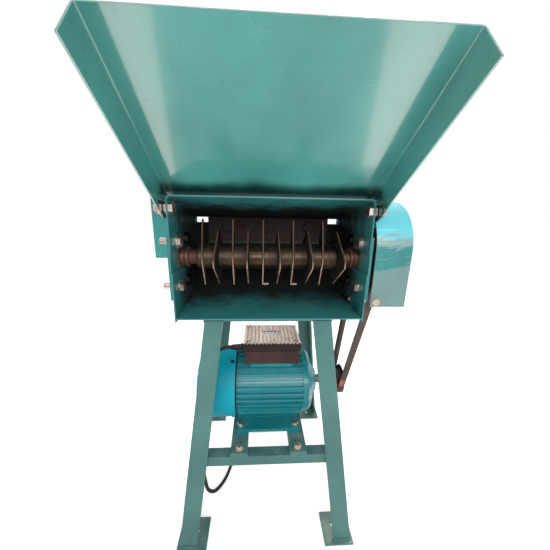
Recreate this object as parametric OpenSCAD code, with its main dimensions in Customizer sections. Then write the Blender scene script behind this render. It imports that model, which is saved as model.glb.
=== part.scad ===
// Electric chaff cutter: a bladed rotor in a sheet-steel box on a splayed angle-iron stand, belt-driven
// by a motor on rails below, with a swinging hood in front and a feed tray behind.
// X runs to the right, Y away from the front edge of the box, Z up from the floor. Millimetres.

/* [Rotor box] */
// Width over the side walls
box_w = 300; // [290:2:330]
// Height of the side walls at the front
box_h = 192; // [188:2:210]
// Depth from the front edge to the back
box_d = 160; // [156:2:180]
// Sheet thickness
sheet = 2; // [1.5:0.5:2.5]
// Fall of the roof from front to back
roof_fall = 34; // [30:1:36]
// Outer radius of the two roof corners
roof_r = 7; // [5:1:8]
// Height of the floor plate above the lower edges of the walls
wall_skirt = 4; // [3:1:6]

/* [Rotor] */
// Shaft diameter
shaft_d = 25; // [22:1:28]
// Rotor axis above the floor plate's underside
rotor_up = 90; // [86:1:94]
// Rotor axis behind the front edge of the box
rotor_in = 58; // [55:1:62]
// Outer diameter of the spacers between the blades
spacer_d = 40; // [38:1:44]
// Distance from one blade to the next
blade_pitch = 24.8; // [23:0.2:25]
// Blade thickness
blade_t = 2; // [1.5:0.5:3]
// Length of an upright knife, tip to tip
knife_len = 126; // [116:2:130]
// Width of an upright knife at its middle
knife_w = 42; // [40:1:48]
// Length of a cross blade, tip to tip
cross_len = 120; // [110:2:124]
// Height of a cross blade at its middle
cross_h = 90; // [80:2:100]

/* [Hood] */
// Length of the hood from its hinge line to its lip
hood_len = 210; // [190:5:240]
// Depth of the hood's side flanges
hood_flange = 38; // [36:1:42]
// Hinge line behind the front edge of the box
hinge_in = 10; // [8:1:12]
// Hinge line below the top of the box
hinge_down = 18; // [16:1:20]
// Distance from the hinge line to the hood's panel
hood_rise = 23; // [22.5:0.5:25]
// Angle at which the hood stands open, above level
hood_open = 37; // [30:1:40]

/* [Feed tray] */
// Width over the tray's sides
tray_w = 464; // [440:4:500]
// Length of the tray behind the box
tray_len = 300; // [260:10:340]
// Height of the tray's sides
tray_h = 126; // [112:2:132]
// Tray floor above the stand's top
tray_up = 69; // [66:1:72]
// Height of the feed throat
throat_h = 37; // [34:1:40]
// Width of the feed throat
throat_w = 244; // [220:4:250]

/* [Belt drive] */
// Outer diameter of the rotor's pulley
rotor_pulley_d = 104; // [96:2:108]
// Outer diameter of the motor's pulley
motor_pulley_d = 64; // [60:2:72]
// Belt width at its back
belt_w = 13; // [12:0.5:14]
// Belt height
belt_h = 8; // [7:0.5:9]
// Radius of the guard's rounded top
guard_r = 76; // [75:1:77]

/* [Motor] */
// Motor axis behind the front edge of the box
motor_in = 157; // [155:1:160]
// Motor axis above the floor
motor_up = 287; // [280:1:295]
// Motor axis above its feet
motor_h = 80; // [79:1:84]
// Diameter over the motor's fins
motor_d = 146; // [140:2:150]
// Length of the finned frame
motor_len = 144; // [140:1:150]
// Distance between the foot bolts along the axis
foot_bolts_x = 120; // [112:2:126]
// Distance between the foot bolts across the axis
foot_bolts_y = 125; // [120:1:128]
// Number of cooling fins
fin_count = 34; // [24:2:40]

/* [Stand] */
// Height of the stand's top above the floor
stand_h = 512; // [500:2:530]
// Width over the legs at their top
stand_w = 240; // [232:2:250]
// Front face of the stand's top behind the front edge of the box
stand_in = 70; // [64:1:74]
// Depth over the legs at their top
stand_d = 246; // [240:2:260]
// Leg width of the angle iron
angle_w = 35; // [32:1:38]
// Thickness of the angle iron
angle_t = 4; // [3:0.5:5]
// Sideways splay of the legs
splay_x = 7; // [5:0.5:8]
// Forward and backward splay of the legs
splay_y = 8.5; // [7:0.5:9]
// Side of the square foot plates
foot_side = 60; // [56:2:70]
// Diameter of the holes in the foot plates
foot_hole_d = 11; // [9:0.5:13]

/* [Clearances] */
// Radial running clearance of turning parts
run_fit = 0.05; // [0.03:0.01:0.08]
// Radial clearance of a bolt in its hole
bolt_fit = 0.3; // [0.2:0.1:0.5]
// Gap between parts that pass each other
pass_gap = 1; // [0.8:0.1:1.2]
// Gap between the belt and its grooves
belt_gap = 0.3; // [0.2:0.05:0.4]

/* [Hidden] */
$fn = 48;

teal = [0.05, 0.36, 0.36];
motor_blue = [0.03, 0.45, 0.52];
rust = [0.33, 0.2, 0.14];
zinc = [0.78, 0.72, 0.66];
steel = [0.5, 0.49, 0.47];
black = [0.05, 0.05, 0.05];

// heights and depths
wall_foot = stand_h - wall_skirt;
box_top = wall_foot + box_h;
rotor_z = stand_h + rotor_up;
roof_angle = atan(roof_fall / box_d);
wall_x = box_w / 2;
inner_x = wall_x - sheet;
tray_z = stand_h + tray_up;
back_y = box_d - 2 * sheet;

// fasteners
m8 = 8;
m8_af = 13;
m8_head = 5.3;
m8_nut = 6.5;
m10 = 10;
m10_af = 17;
m10_head = 6.4;
m10_nut = 8.4;
m10_thin_nut = 4;
m12 = 12;
m12_af = 18;
m12_head = 7.5;
m6 = 6;
m6_head_d = 12;
m6_head = 3.5;

// bearings
bearing_od = 47;
bearing_w = 12;
race_t = 4;
plate_t = 4;
plate_h = 100;
plate_front = 2;
plate_back = rotor_in + 32;
ring_wall = 3;
ring_d = bearing_od + 2 * ring_wall;
bolt_dy = 22;
bolt_dz = 37;
// the bolts sit lower than the axis
bolt_drop = 8;

// rotor, along its axis
blade_n = 10;
blade_x0 = -blade_pitch * (blade_n - 1) / 2;
collar_d = 34;
collar_w = 10;
collar_x = inner_x - 2;
ring_nut_w = 8;
pulley_w = 17;
pulley_x = wall_x + bearing_w + 1.5;
belt_x = pulley_x + pulley_w / 2;
shaft_left = -(wall_x + bearing_w + 1);
shaft_right = pulley_x + pulley_w + 1;
groove_half_angle = 19;
groove_depth = belt_h + 2;

// hood
hinge_z = box_top - hinge_down;
hood_x = wall_x + plate_t + pass_gap;
hood_tail = hood_flange - hood_rise;
hood_fold_r = 4;

// guard
guard_x0 = hood_x + sheet + 1.5;
guard_x1 = pulley_x + pulley_w + 34.5;
guard_y = guard_r;
guard_z = rotor_z + 20;
guard_foot = wall_foot + 26;
guard_t = 1.5;
bracket_t = 3;
bracket_y = 75;
bracket_l = 40;

// motor, along its axis
motor_x = 3.5;
motor_z = motor_up;
rail_z = motor_z - motor_h;
rail_t = 8;
rail_w = 35;
frame_back = 68.5;
frame_x0 = motor_x - frame_back;
frame_x1 = frame_x0 + motor_len;
core_r = motor_d / 2 - 7;
shield_l = 36;
cowl_l = 85;
cowl_r = motor_d / 2 + 4;
cowl_t = 1.5;
motor_shaft_d = 19;
motor_shaft_l = pulley_x + pulley_w + 2;
fan_r = cowl_r - 9;
foot_t = 12;
foot_pad = 36;
term_x = 10.5;
term_w = 115;
term_y = motor_in - 12.5;
term_d = 83;
term_z = motor_z + motor_d / 2 + 4;
term_h = 38;
lid_h = 12;
lid_over = 2.5;
lid_rib = 2.4;
lid_ribs = 15;

// stand
stand_y = stand_in + stand_d / 2;
leg_top = stand_h - angle_w;
foot_plate_t = 6;
tx = tan(splay_x);
ty = tan(splay_y);
lean = sqrt(1 + tx * tx + ty * ty);
bar_z = rail_z - rail_t;
function leg_x(z) = stand_w / 2 + tx * (leg_top - z);
function leg_y(z) = stand_d / 2 + ty * (leg_top - z);
foot_hole_in = 30;

// lead: points chosen along its route, from the gland to the coil
lead_d = 8;
gland_y = term_y - 18.5;
gland_z = term_z + 27;
gland_l = 30;
gland_x = term_x - term_w / 2 - gland_l;
lead_route = [[gland_x, gland_y, gland_z], [gland_x - 9, gland_y, gland_z], [-98, 122, 389], [-110, 109, 385], [-118, 92, 377],
    [-122.5, 75, 366], [-125.2, 61.4, 350], [-127, 59.2, 335], [-128.9, 56.9, 320], [-132, 55, 295],
    [-135, 57, 270], [-138, 63, 245], [-140, 71, 222], [-141, 76, 200], [-141, 78, 165], [-140.5, 80, 120],
    [-139, 84, 75], [-135, 91, 36], [-124, 104, 12], [-110, 123, 5.4], [-97, 150, 5.2], [-87, 190, 5.2],
    [-80, 228, 5.2], [-73, 258, 5.2], [-60, 278, 5.2], [-40, 287, 5.2], [-20, 287, 5.2], [-12, 287, 5.2]];
coil_x = -4;
coil_y = 345;
coil_z = 5.2;
coil_r = 58;
coil_pitch = 8.9;
coil_turns = 6.5;
coil_rise = 8.8;
coil_steps = 24;
plug_tail = 48;
clip_heights = [330];

// the whole machine stands centred on the origin
hood_front = hinge_in - hood_tail * sin(hood_open) - hood_len * cos(hood_open);
tray_back = box_d + tray_len;
mid_y = (hood_front + tray_back) / 2;
module machine() translate([0, -mid_y, 0]) children();

// a side profile drawn as (y, z), extruded to the right
module side(h) rotate([90, 0, 90]) linear_extrude(h) children();
// a profile drawn as (radius, x), turned about the X axis
module turned(points) rotate([0, 90, 0]) rotate_extrude() polygon(points);
// a rod along X
module rod(d, x0, x1) translate([x0, 0, 0]) rotate([0, 90, 0]) cylinder(d = d, h = x1 - x0);
// a tube along X
module tube(od, id, x0, x1) difference() {
    rod(od, x0, x1);
    rod(id, x0 - 1, x1 + 1);
}
module hexagon(af, h) cylinder(d = af / cos(30), h = h, $fn = 6);
// a bolt with its head's underside at the origin, pointing along +Z
module bolt(d, af, head, l) {
    translate([0, 0, -head]) hexagon(af, head);
    cylinder(d = d, h = l);
}
module nut(d, af, h) difference() {
    hexagon(af, h);
    translate([0, 0, -1]) cylinder(d = d + 2 * run_fit, h = h + 2);
}
module at_rotor() translate([0, rotor_in, rotor_z]) children();
module at_motor() translate([0, motor_in, motor_z]) children();
module both_sides() {
    children();
    mirror([1, 0, 0]) children();
}

// rotor box

// the box seen from the front, with its top at the origin
module box_outline(inset) {
    w = wall_x - inset;
    r = roof_r - inset;
    reach = 2 * box_h;
    translate([-w, -reach]) square([2 * w, reach - roof_r]);
    translate([r - w, -reach]) square([2 * (w - r), reach - inset]);
    for (s = [-1, 1]) translate([s * (w - r), -roof_r]) circle(r);
}
module sloped_run(inset) translate([0, 0, box_top]) rotate([-roof_angle, 0, 0])
    translate([0, 2 * box_d, 0]) rotate([90, 0, 0]) linear_extrude(3 * box_d) box_outline(inset);
module bearing_bolt_places() for (y = [-bolt_dy, bolt_dy], z = [-bolt_dz, bolt_dz])
    translate([0, rotor_in + y, rotor_z - bolt_drop + z]) children();
slot_h = shaft_d + 7;

module box_shell() color(teal) machine() difference() {
    intersection() {
        difference() {
            sloped_run(0);
            sloped_run(sheet);
        }
        translate([-box_w, 0, wall_foot]) cube([2 * box_w, box_d, 2 * box_h]);
    }
    // open slots that let the shaft in from the front
    at_rotor() translate([-box_w, -2 * rotor_in, -slot_h / 2]) cube([2 * box_w, 2 * rotor_in, slot_h]);
    at_rotor() rod(slot_h, -box_w, box_w);
    bearing_bolt_places() rod(m10 + 2 * bolt_fit, -box_w, box_w);
    translate([0, hinge_in, hinge_z]) rod(m10 + 2 * bolt_fit, -box_w, box_w);
    bracket_bolt_places() rod(m6 + 2 * bolt_fit, 0, box_w);
}
module floor_plate() color(teal) machine() translate([-inner_x, 0, stand_h]) cube([2 * inner_x, back_y, sheet]);

counter_t = 10;
counter_z = tray_z + throat_h;
// the plate reaches up to just under the roof
counter_h = box_top - roof_fall * back_y / box_d - sheet / cos(roof_angle) - 0.3 - counter_z;
counter_bolt_step = 80;
back_top = counter_z + 36;
module counter_bolt_places() for (i = [-1 : 1]) translate([i * counter_bolt_step, 0, counter_z + 0.6 * counter_h])
    rotate([-90, 0, 0]) children();
module rear_wall() color(teal) machine() difference() {
    translate([-inner_x, back_y, stand_h]) cube([2 * inner_x, sheet, back_top - stand_h]);
    translate([-throat_w / 2, 0, tray_z]) cube([throat_w, box_d, throat_h]);
    counter_bolt_places() cylinder(d = m12 + 2 * bolt_fit, h = box_d);
}
module counter_plate() color(rust) machine() difference() {
    translate([-throat_w / 2 + 3, back_y - counter_t, counter_z]) cube([throat_w - 6, counter_t, counter_h]);
    counter_bolt_places() cylinder(d = m12 + 2 * bolt_fit, h = box_d);
}
module counter_bolts() color(rust) machine() counter_bolt_places() translate([0, 0, back_y - counter_t])
    bolt(m12, m12_af, m12_head, counter_t + sheet);

// rotor

function blade_x(i) = blade_x0 + i * blade_pitch;
module rotor_shaft() color(rust) machine() at_rotor() rod(shaft_d, shaft_left, shaft_right);
// a spacer sleeve with turned grooves
groove_n = 4;
module spacer(x0, x1) {
    step = (x1 - x0) / groove_n;
    r = spacer_d / 2;
    dip = 1;
    turned(concat([[shaft_d / 2 + run_fit, x0]],
        [for (i = [0 : groove_n - 1], p = [[r - dip, 0], [r, 0.3], [r, 0.7]]) [p[0], x0 + (i + p[1]) * step]],
        [[r - dip, x1], [shaft_d / 2 + run_fit, x1]]));
}
module blade_spacers() color(steel) machine() at_rotor() {
    for (i = [0 : blade_n - 2]) spacer(blade_x(i) + blade_t / 2, blade_x(i + 1) - blade_t / 2);
    for (s = [-1, 1]) translate([s * (blade_x(blade_n - 1) + blade_t / 2 + ring_nut_w / 2), 0, 0])
        tube(spacer_d - 2, shaft_d + 2 * run_fit, -ring_nut_w / 2, ring_nut_w / 2);
}
module lozenge(l, w, tip) polygon([[-tip, l / 2], [tip, l / 2], [w / 2, tip], [w / 2, -tip],
    [tip, -l / 2], [-tip, -l / 2], [-w / 2, -tip], [-w / 2, tip]]);
module blade(x) translate([x - blade_t / 2, 0, 0]) difference() {
    side(blade_t) children();
    rod(shaft_d + 2 * run_fit, -1, blade_t + 1);
}
toe = 10;
module knife_blades() color(rust) machine() at_rotor() for (i = [0 : 2 : blade_n - 1]) {
    blade(blade_x(i)) lozenge(knife_len, knife_w, 3);
    // two of the knives have a toe turned over at their lower tip
    if (i == 4 || i == 6) translate([blade_x(i), -3, -knife_len / 2]) cube([toe, 6, 2]);
}
module cross_blades() color(rust) machine() at_rotor() for (i = [1 : 2 : blade_n - 1])
    blade(blade_x(i)) lozenge(cross_h, cross_len, 5);
module shaft_collars() color(zinc) machine() at_rotor() both_sides()
    tube(collar_d, shaft_d + 2 * run_fit, collar_x - collar_w, collar_x);
module bearing_inner_rings() color(steel) machine() at_rotor() both_sides()
    tube(shaft_d + 2 * race_t, shaft_d + 2 * run_fit, wall_x, wall_x + bearing_w);

// a grooved pulley with a hub and a thinner web, starting at x
module pulley(d, x, bore, hub) {
    r = d / 2;
    half = belt_w / 2 + belt_gap / cos(groove_half_angle);
    low = half - groove_depth * tan(groove_half_angle);
    mid = pulley_w / 2;
    rim = r - groove_depth - 5;
    web = 4;
    translate([x, 0, 0]) turned([[bore / 2 + run_fit, 0], [hub, 0], [hub, mid - web], [rim, mid - web], [rim, 0],
        [r, 0], [r, mid - half], [r - groove_depth, mid - low], [r - groove_depth, mid + low], [r, mid + half],
        [r, pulley_w], [rim, pulley_w], [rim, mid + web], [hub, mid + web], [hub, pulley_w],
        [bore / 2 + run_fit, pulley_w]]);
}
module rotor_pulley() color(teal) machine() at_rotor() pulley(rotor_pulley_d, pulley_x, shaft_d, 21);

// bearings

module bearing_plate() difference() {
    union() {
        translate([wall_x, plate_front, rotor_z - bolt_drop - plate_h / 2])
            cube([plate_t, plate_back - plate_front, plate_h]);
        at_rotor() rod(ring_d, wall_x, wall_x + bearing_w);
    }
    at_rotor() rod(bearing_od + 2 * run_fit, 0, box_w);
    bearing_bolt_places() rod(m10 + 2 * bolt_fit, 0, box_w);
}
module bearing_plate_left() color(steel) machine() mirror([1, 0, 0]) bearing_plate();
module bearing_plate_right() color(steel) machine() bearing_plate();
module bearing_outer_rings() color(steel) machine() at_rotor() both_sides()
    tube(bearing_od, shaft_d + 2 * race_t + 2 * belt_gap, wall_x, wall_x + bearing_w);
// the bolts on the left stand out of their nuts; those on the right stay clear of the pulley
bolt_grip = sheet + plate_t;
bolt_out_left = 12;
bolt_out_right = 0.4;
module bearing_bolt_set(out) bearing_bolt_places() translate([inner_x, 0, 0])
    rotate([0, 90, 0]) bolt(m10, m10_af, m10_head, bolt_grip + m10_nut + out);
module bearing_bolts() color(zinc) machine() {
    bearing_bolt_set(bolt_out_right);
    mirror([1, 0, 0]) bearing_bolt_set(bolt_out_left);
}
module bearing_nuts() color(zinc) machine() both_sides() bearing_bolt_places()
    translate([wall_x + plate_t, 0, 0]) rotate([0, 90, 0]) nut(m10, m10_af, m10_nut);

// hood

module hood_outline(inset) {
    w = hood_x + sheet - inset;
    top = hood_rise + sheet - inset;
    r = hood_fold_r - inset;
    translate([-w, -hood_tail]) square([2 * w, hood_tail + top - r]);
    translate([r - w, -hood_tail]) square([2 * (w - r), hood_tail + top]);
    for (s = [-1, 1]) translate([s * (w - r), top - r]) circle(r);
}
module hood() color(teal) machine() translate([0, hinge_in, hinge_z]) rotate([-hood_open, 0, 0]) difference() {
    union() {
        rotate([90, 0, 0]) linear_extrude(hood_len) difference() {
            hood_outline(0);
            hood_outline(sheet);
            translate([-hood_x, -2 * hood_tail]) square([2 * hood_x, 2 * hood_tail]);
        }
        // rounded ears round the hinge bolts
        both_sides() rod(2 * hood_tail, hood_x, hood_x + sheet);
    }
    rod(m10 + 2 * run_fit, -box_w, box_w);
}
hinge_grip = hood_x + sheet - inner_x;
module at_hinge(x) both_sides() translate([x, hinge_in, hinge_z]) rotate([0, 90, 0]) children();
module hinge_bolts() color(zinc) machine() at_hinge(inner_x) bolt(m10, m10_af, m10_head, hinge_grip + m10_nut + 4);
module hinge_nuts() color(zinc) machine() {
    at_hinge(wall_x) nut(m10, m10_af, m10_thin_nut);
    at_hinge(hood_x + sheet + belt_gap) nut(m10, m10_af, m10_nut);
}

// belt drive

// centres of the two pulleys in the side view, and the normals of the two straight strands
drive_dy = motor_in - rotor_in;
drive_dz = motor_z - rotor_z;
drive_l = norm([drive_dy, drive_dz]);
drive_a = atan2(drive_dz, drive_dy);
strand_a = acos((rotor_pulley_d - motor_pulley_d) / 2 / drive_l);
belt_low = belt_w / 2 - belt_h * tan(groove_half_angle);
belt_steps = 36;
// the belt's four corners where its back lies at angle a on a pulley of radius r, in the side view
function belt_ring(y, z, a, r) = [for (q = [[0, -belt_w / 2], [0, belt_w / 2], [belt_h, belt_low], [belt_h, -belt_low]])
    [belt_x + q[1], y + (r - q[0]) * cos(a), z + (r - q[0]) * sin(a)]];
belt_rings = concat(
    [for (i = [0 : belt_steps]) belt_ring(rotor_in, rotor_z,
        drive_a + strand_a + (360 - 2 * strand_a) * i / belt_steps, rotor_pulley_d / 2)],
    [for (i = [0 : belt_steps]) belt_ring(motor_in, motor_z,
        drive_a - strand_a + 2 * strand_a * i / belt_steps, motor_pulley_d / 2)]);
module drive_belt() color(black) machine() {
    n = len(belt_rings);
    polyhedron([for (ring = belt_rings) for (p = ring) p], [for (i = [0 : n - 1], k = [0 : 3])
        let (j = (i + 1) % n, m = (k + 1) % 4) [4 * i + k, 4 * i + m, 4 * j + m, 4 * j + k]]);
}
module guard_profile(inset) {
    translate([guard_y, guard_z]) circle(guard_r - inset);
    translate([guard_y - guard_r + inset, guard_foot - inset]) square([2 * (guard_r - inset), guard_z - guard_foot + inset]);
}
front_bolt_x = guard_x0 + 8;
front_bolt_z = guard_foot + 9;
module belt_guard() color(teal) machine() difference() {
    translate([guard_x0, 0, 0]) side(guard_x1 - guard_x0) guard_profile(0);
    translate([guard_x0 - 1, 0, 0]) side(guard_x1 - guard_x0 + 1 - guard_t) guard_profile(guard_t);
    translate([0, 0, guard_foot - box_h]) cube([box_w, box_d, box_h]);
    tab_bolt_places() rod(m6 + 2 * bolt_fit, 0, box_w);
    translate([front_bolt_x, guard_y, front_bolt_z]) rotate([90, 0, 0]) cylinder(d = m6 + 2 * bolt_fit, h = box_d);
}
bracket_z = guard_foot + 4;
bracket_x = guard_x1 - guard_t;
tab_h = 26;
module bracket_bolt_places() for (s = [-1, 1])
    translate([0, bracket_y + s * bracket_l / 4, bracket_z - 14]) children();
module tab_bolt_places() for (s = [-1, 1])
    translate([0, bracket_y + s * bracket_l / 4, bracket_z + tab_h - 10]) children();
module guard_bracket() color(teal) machine() difference() {
    union() {
        translate([wall_x, bracket_y - bracket_l / 2, wall_foot + 2])
            cube([bracket_t, bracket_l, bracket_z - wall_foot + 1]);
        translate([wall_x, bracket_y - bracket_l / 2, bracket_z]) cube([bracket_x - wall_x, bracket_l, bracket_t]);
        translate([bracket_x - bracket_t, bracket_y - bracket_l / 2, bracket_z]) cube([bracket_t, bracket_l, tab_h]);
    }
    bracket_bolt_places() rod(m6 + 2 * bolt_fit, 0, box_w);
    tab_bolt_places() rod(m6 + 2 * bolt_fit, 0, box_w);
}
// a bolt with a round head, its head's underside at the origin
module round_bolt(l) {
    translate([0, 0, -m6_head]) cylinder(d = m6_head_d, h = m6_head);
    cylinder(d = m6, h = l);
}
module guard_bolts() color(zinc) machine() {
    bracket_bolt_places() translate([inner_x, 0, 0]) rotate([0, 90, 0]) round_bolt(sheet + bracket_t + 4);
    tab_bolt_places() translate([guard_x1, 0, 0]) rotate([0, -90, 0]) round_bolt(guard_t + bracket_t + 2);
    translate([front_bolt_x, guard_y - guard_r, front_bolt_z]) rotate([-90, 0, 0]) round_bolt(guard_t + 6);
}

// motor

module foot_bolt_places() for (x = [-1, 1], y = [-1, 1])
    translate([motor_x + x * foot_bolts_x / 2, motor_in + y * foot_bolts_y / 2, rail_z]) children();
foot_l = foot_bolts_x + 16;
foot_reach = foot_bolts_y / 2 + 16;
module motor_frame() color(motor_blue) machine() difference() {
    union() {
        at_motor() translate([frame_x0, 0, 0]) side(motor_len) {
            circle(core_r);
            for (i = [0 : fin_count - 1]) rotate(i * 360 / fin_count)
                translate([0, -1.5]) square([motor_d / 2, 3]);
        }
        // pedestal and feet
        at_motor() translate([motor_x - foot_l / 2, 0, 0]) side(foot_l)
            polygon([[-foot_reach, -motor_h], [-foot_reach, foot_t - motor_h],
                [-foot_reach + foot_pad, foot_t - motor_h], [-core_r + 6, -20], [core_r - 6, -20],
                [foot_reach - foot_pad, foot_t - motor_h], [foot_reach, foot_t - motor_h],
                [foot_reach, -motor_h], [core_r / 2, -motor_h], [core_r / 2, 3 - motor_h],
                [-core_r / 2, 3 - motor_h], [-core_r / 2, -motor_h]]);
        // pad that carries the terminal box
        translate([term_x - term_w / 2 + 12, term_y - term_d / 2 + 14, motor_z])
            cube([term_w - 24, term_d - 24, term_z - motor_z]);
    }
    at_motor() rod(motor_shaft_d + 8, -box_w, box_w);
    foot_bolt_places() translate([0, 0, -1]) cylinder(d = m8 + 2 * bolt_fit, h = motor_h);
    // arch under the feet between their ends
    translate([motor_x - foot_bolts_x / 2 + 18, 0, rail_z - 1]) cube([foot_bolts_x - 36, box_d * 2, 6]);
}
module drive_end_shield() color(motor_blue) machine() at_motor() translate([frame_x1, 0, 0])
    turned([[motor_shaft_d / 2 + run_fit, 0], [core_r + 3, 0], [core_r + 3, 12], [core_r - 4, 20], [30, shield_l - 6],
        [26, shield_l], [motor_shaft_d / 2 + run_fit, shield_l]]);
rear_shield_l = 10;
module fan_end_shield() color(motor_blue) machine() at_motor() translate([frame_x0 - rear_shield_l, 0, 0])
    turned([[motor_shaft_d / 2 + run_fit, 0], [core_r - 6, 0], [core_r + 2, 4], [core_r + 2, rear_shield_l],
        [motor_shaft_d / 2 + run_fit, rear_shield_l]]);
cowl_x0 = frame_x0 - cowl_l;
cowl_seat = core_r + 2.1;
module fan_cowl() color(motor_blue) machine() at_motor() difference() {
    translate([cowl_x0, 0, 0]) turned([[0, 0], [cowl_r - 14, 0], [cowl_r - 4, 3], [cowl_r, 12], [cowl_r, cowl_l - 3],
        [cowl_seat, cowl_l - 3], [cowl_seat, cowl_l - 3 - cowl_t], [cowl_r - cowl_t, cowl_l - 3 - cowl_t],
        [cowl_r - cowl_t, 12], [cowl_r - 4 - cowl_t, 3 + cowl_t], [cowl_r - 14, cowl_t], [0, cowl_t]]);
    // air slots in rings round the middle
    for (ring = [[18, 8], [30, 14], [42, 20], [54, 26]], i = [0 : ring[1] - 1]) rotate([i * 360 / ring[1], 0, 0])
        translate([cowl_x0 - 1, 0, ring[0]]) rod(6, 0, cowl_t + 2);
}
fan_x = cowl_x0 + 30;
fan_w = 26;
fan_hub = 16;
module cooling_fan() color(black) machine() at_motor() difference() {
    union() {
        rod(2 * fan_hub, fan_x, fan_x + fan_w);
        rod(2 * fan_r - 10, fan_x + fan_w - 3, fan_x + fan_w);
        for (i = [0 : 6]) rotate([i * 360 / 7, 0, 0]) translate([fan_x, -1.5, fan_hub - 2])
            cube([fan_w, 3, fan_r - fan_hub]);
    }
    rod(motor_shaft_d + 2 * run_fit, fan_x - 1, fan_x + fan_w + 1);
}
module motor_shaft() color(steel) machine() at_motor() rod(motor_shaft_d, fan_x, motor_shaft_l);
module motor_pulley() color(teal) machine() at_motor() pulley(motor_pulley_d, pulley_x, motor_shaft_d, 15);
module motor_bolts() color(zinc) machine() foot_bolt_places() translate([0, 0, foot_t]) rotate([180, 0, 0])
    bolt(m8, m8_af, m8_head, foot_t + rail_t + m8_nut + 1);
module motor_nuts() color(zinc) machine() foot_bolt_places() translate([0, 0, -rail_t - m8_nut]) nut(m8, m8_af, m8_nut);

module terminal_box() color(black) machine() difference() {
    translate([term_x - term_w / 2, term_y - term_d / 2, term_z]) cube([term_w, term_d, term_h]);
    translate([0, gland_y, gland_z]) rod(lead_d + 1, -box_w, term_x - term_w / 2 + 15);
    lid_screw_places() translate([0, 0, -14]) cylinder(d = 4 + 2 * bolt_fit, h = 20);
}
lid_z = term_z + term_h;
module lid_screw_places() for (x = [-1, 1], y = [-1, 1])
    translate([term_x + x * (term_w / 2 - 7), term_y + y * (term_d / 2 - 7), lid_z]) children();
lid_w = term_w + 2 * lid_over;
lid_d = term_d + 2 * lid_over;
lid_low = lid_h - lid_rib;
rib_step = lid_w / lid_ribs;
// the ribbed lid seen from the front; the ribs run from front to back
module lid_profile() polygon(concat([[lid_w / 2, 0], [-lid_w / 2, 0], [-lid_w / 2, lid_low]],
    [for (i = [0 : lid_ribs - 1], p = [[0.2, 0], [0.3, 1], [0.7, 1], [0.8, 0]])
        [(i + p[0]) * rib_step - lid_w / 2, lid_low + p[1] * lid_rib]], [[lid_w / 2, lid_low]]));
field_w = 38;
field_d = 20;
module terminal_lid() color(black) machine() difference() {
    translate([term_x, term_y + lid_d / 2, lid_z]) rotate([90, 0, 0]) linear_extrude(lid_d) lid_profile();
    lid_screw_places() translate([0, 0, -1]) cylinder(d = 4 + 2 * bolt_fit, h = lid_h + 2);
    lid_screw_places() translate([0, 0, lid_low - 1]) cylinder(d = 9, h = lid_h);
    // flat field in the middle of the ribs
    translate([term_x - field_w / 2, term_y - field_d / 2, lid_z + lid_low - 0.3]) cube([field_w, field_d, lid_h]);
}
module lid_screws() color(zinc) machine() lid_screw_places() {
    translate([0, 0, lid_h - lid_rib - 1]) cylinder(d = 7.5, h = 2.5);
    translate([0, 0, -12]) cylinder(d = 4, h = lid_h + 10);
}

// stand

// a leg and what trims the bars at it, in the far right quadrant of the stand
module leg_frame() translate([stand_w / 2, stand_d / 2, leg_top]) rotate([asin(ty / lean), -splay_x, 0]) children();
module angle_profile() polygon([[0, 0], [-angle_w, 0], [-angle_w, -angle_t], [-angle_t, -angle_t],
    [-angle_t, -angle_w], [0, -angle_w]]);
module leg() intersection() {
    leg_frame() translate([0, 0, -1.2 * stand_h]) linear_extrude(1.5 * stand_h) angle_profile();
    translate([0, 0, foot_plate_t]) cube([stand_h, stand_h, leg_top - foot_plate_t]);
}
module quadrant(sx, sy) translate([0, stand_y, 0]) mirror([sx < 0 ? 1 : 0, 0, 0]) mirror([0, sy < 0 ? 1 : 0, 0])
    children();
module leg_front_left() color(teal) machine() quadrant(-1, -1) leg();
module leg_front_right() color(teal) machine() quadrant(1, -1) leg();
module leg_rear_left() color(teal) machine() quadrant(-1, 1) leg();
module leg_rear_right() color(teal) machine() quadrant(1, 1) leg();

// an angle bar along Y or X under the stand's top, its corner outward
module bar_profile() polygon([[0, 0], [-angle_w, 0], [-angle_w, -angle_t], [-angle_t, -angle_t],
    [-angle_t, -angle_w], [0, -angle_w]]);
module top_side_bars() color(teal) machine() for (s = [-1, 1]) quadrant(s, 1) translate([stand_w / 2, stand_d / 2, stand_h])
    rotate([90, 0, 0]) linear_extrude(stand_d) bar_profile();
module top_cross_bars() color(teal) machine() for (s = [-1, 1]) quadrant(1, s) difference() {
    translate([-stand_w / 2 + angle_t, stand_d / 2, stand_h]) side(stand_w - 2 * angle_t) bar_profile();
    for (e = [-1, 1]) translate([e * (stand_w - angle_w) / 2 - angle_w / 2, 0, stand_h - angle_t])
        cube([angle_w, stand_d, angle_t + 1]);
}
bar_y = leg_y(bar_z) - angle_t - 0.5;
low_bar_w = 22;
module low_bar_profile() polygon([[0, 0], [-low_bar_w, 0], [-low_bar_w, -angle_t], [-angle_t, -angle_t],
    [-angle_t, -low_bar_w], [0, -low_bar_w]]);
module lower_bar(sy) quadrant(1, sy) difference() {
    translate([-leg_x(0), bar_y, bar_z]) side(2 * leg_x(0)) low_bar_profile();
    for (s = [0, 1]) mirror([s, 0, 0]) {
        leg_frame() translate([-angle_t, -stand_d, -1.2 * stand_h]) cube([stand_h, stand_d * 2, 1.5 * stand_h]);
        leg();
    }
    for (s = [-1, 1]) translate([motor_x + s * foot_bolts_x / 2, rail_bolt_y, bar_z - 2 * angle_t])
        cylinder(d = m8 + 2 * bolt_fit, h = 3 * angle_t);
}
module front_cross_bar() color(teal) machine() lower_bar(-1);
module rear_cross_bar() color(teal) machine() lower_bar(1);
rail_slot = 20;
rail_bolt_y = bar_y - low_bar_w / 2 - 2;
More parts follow.
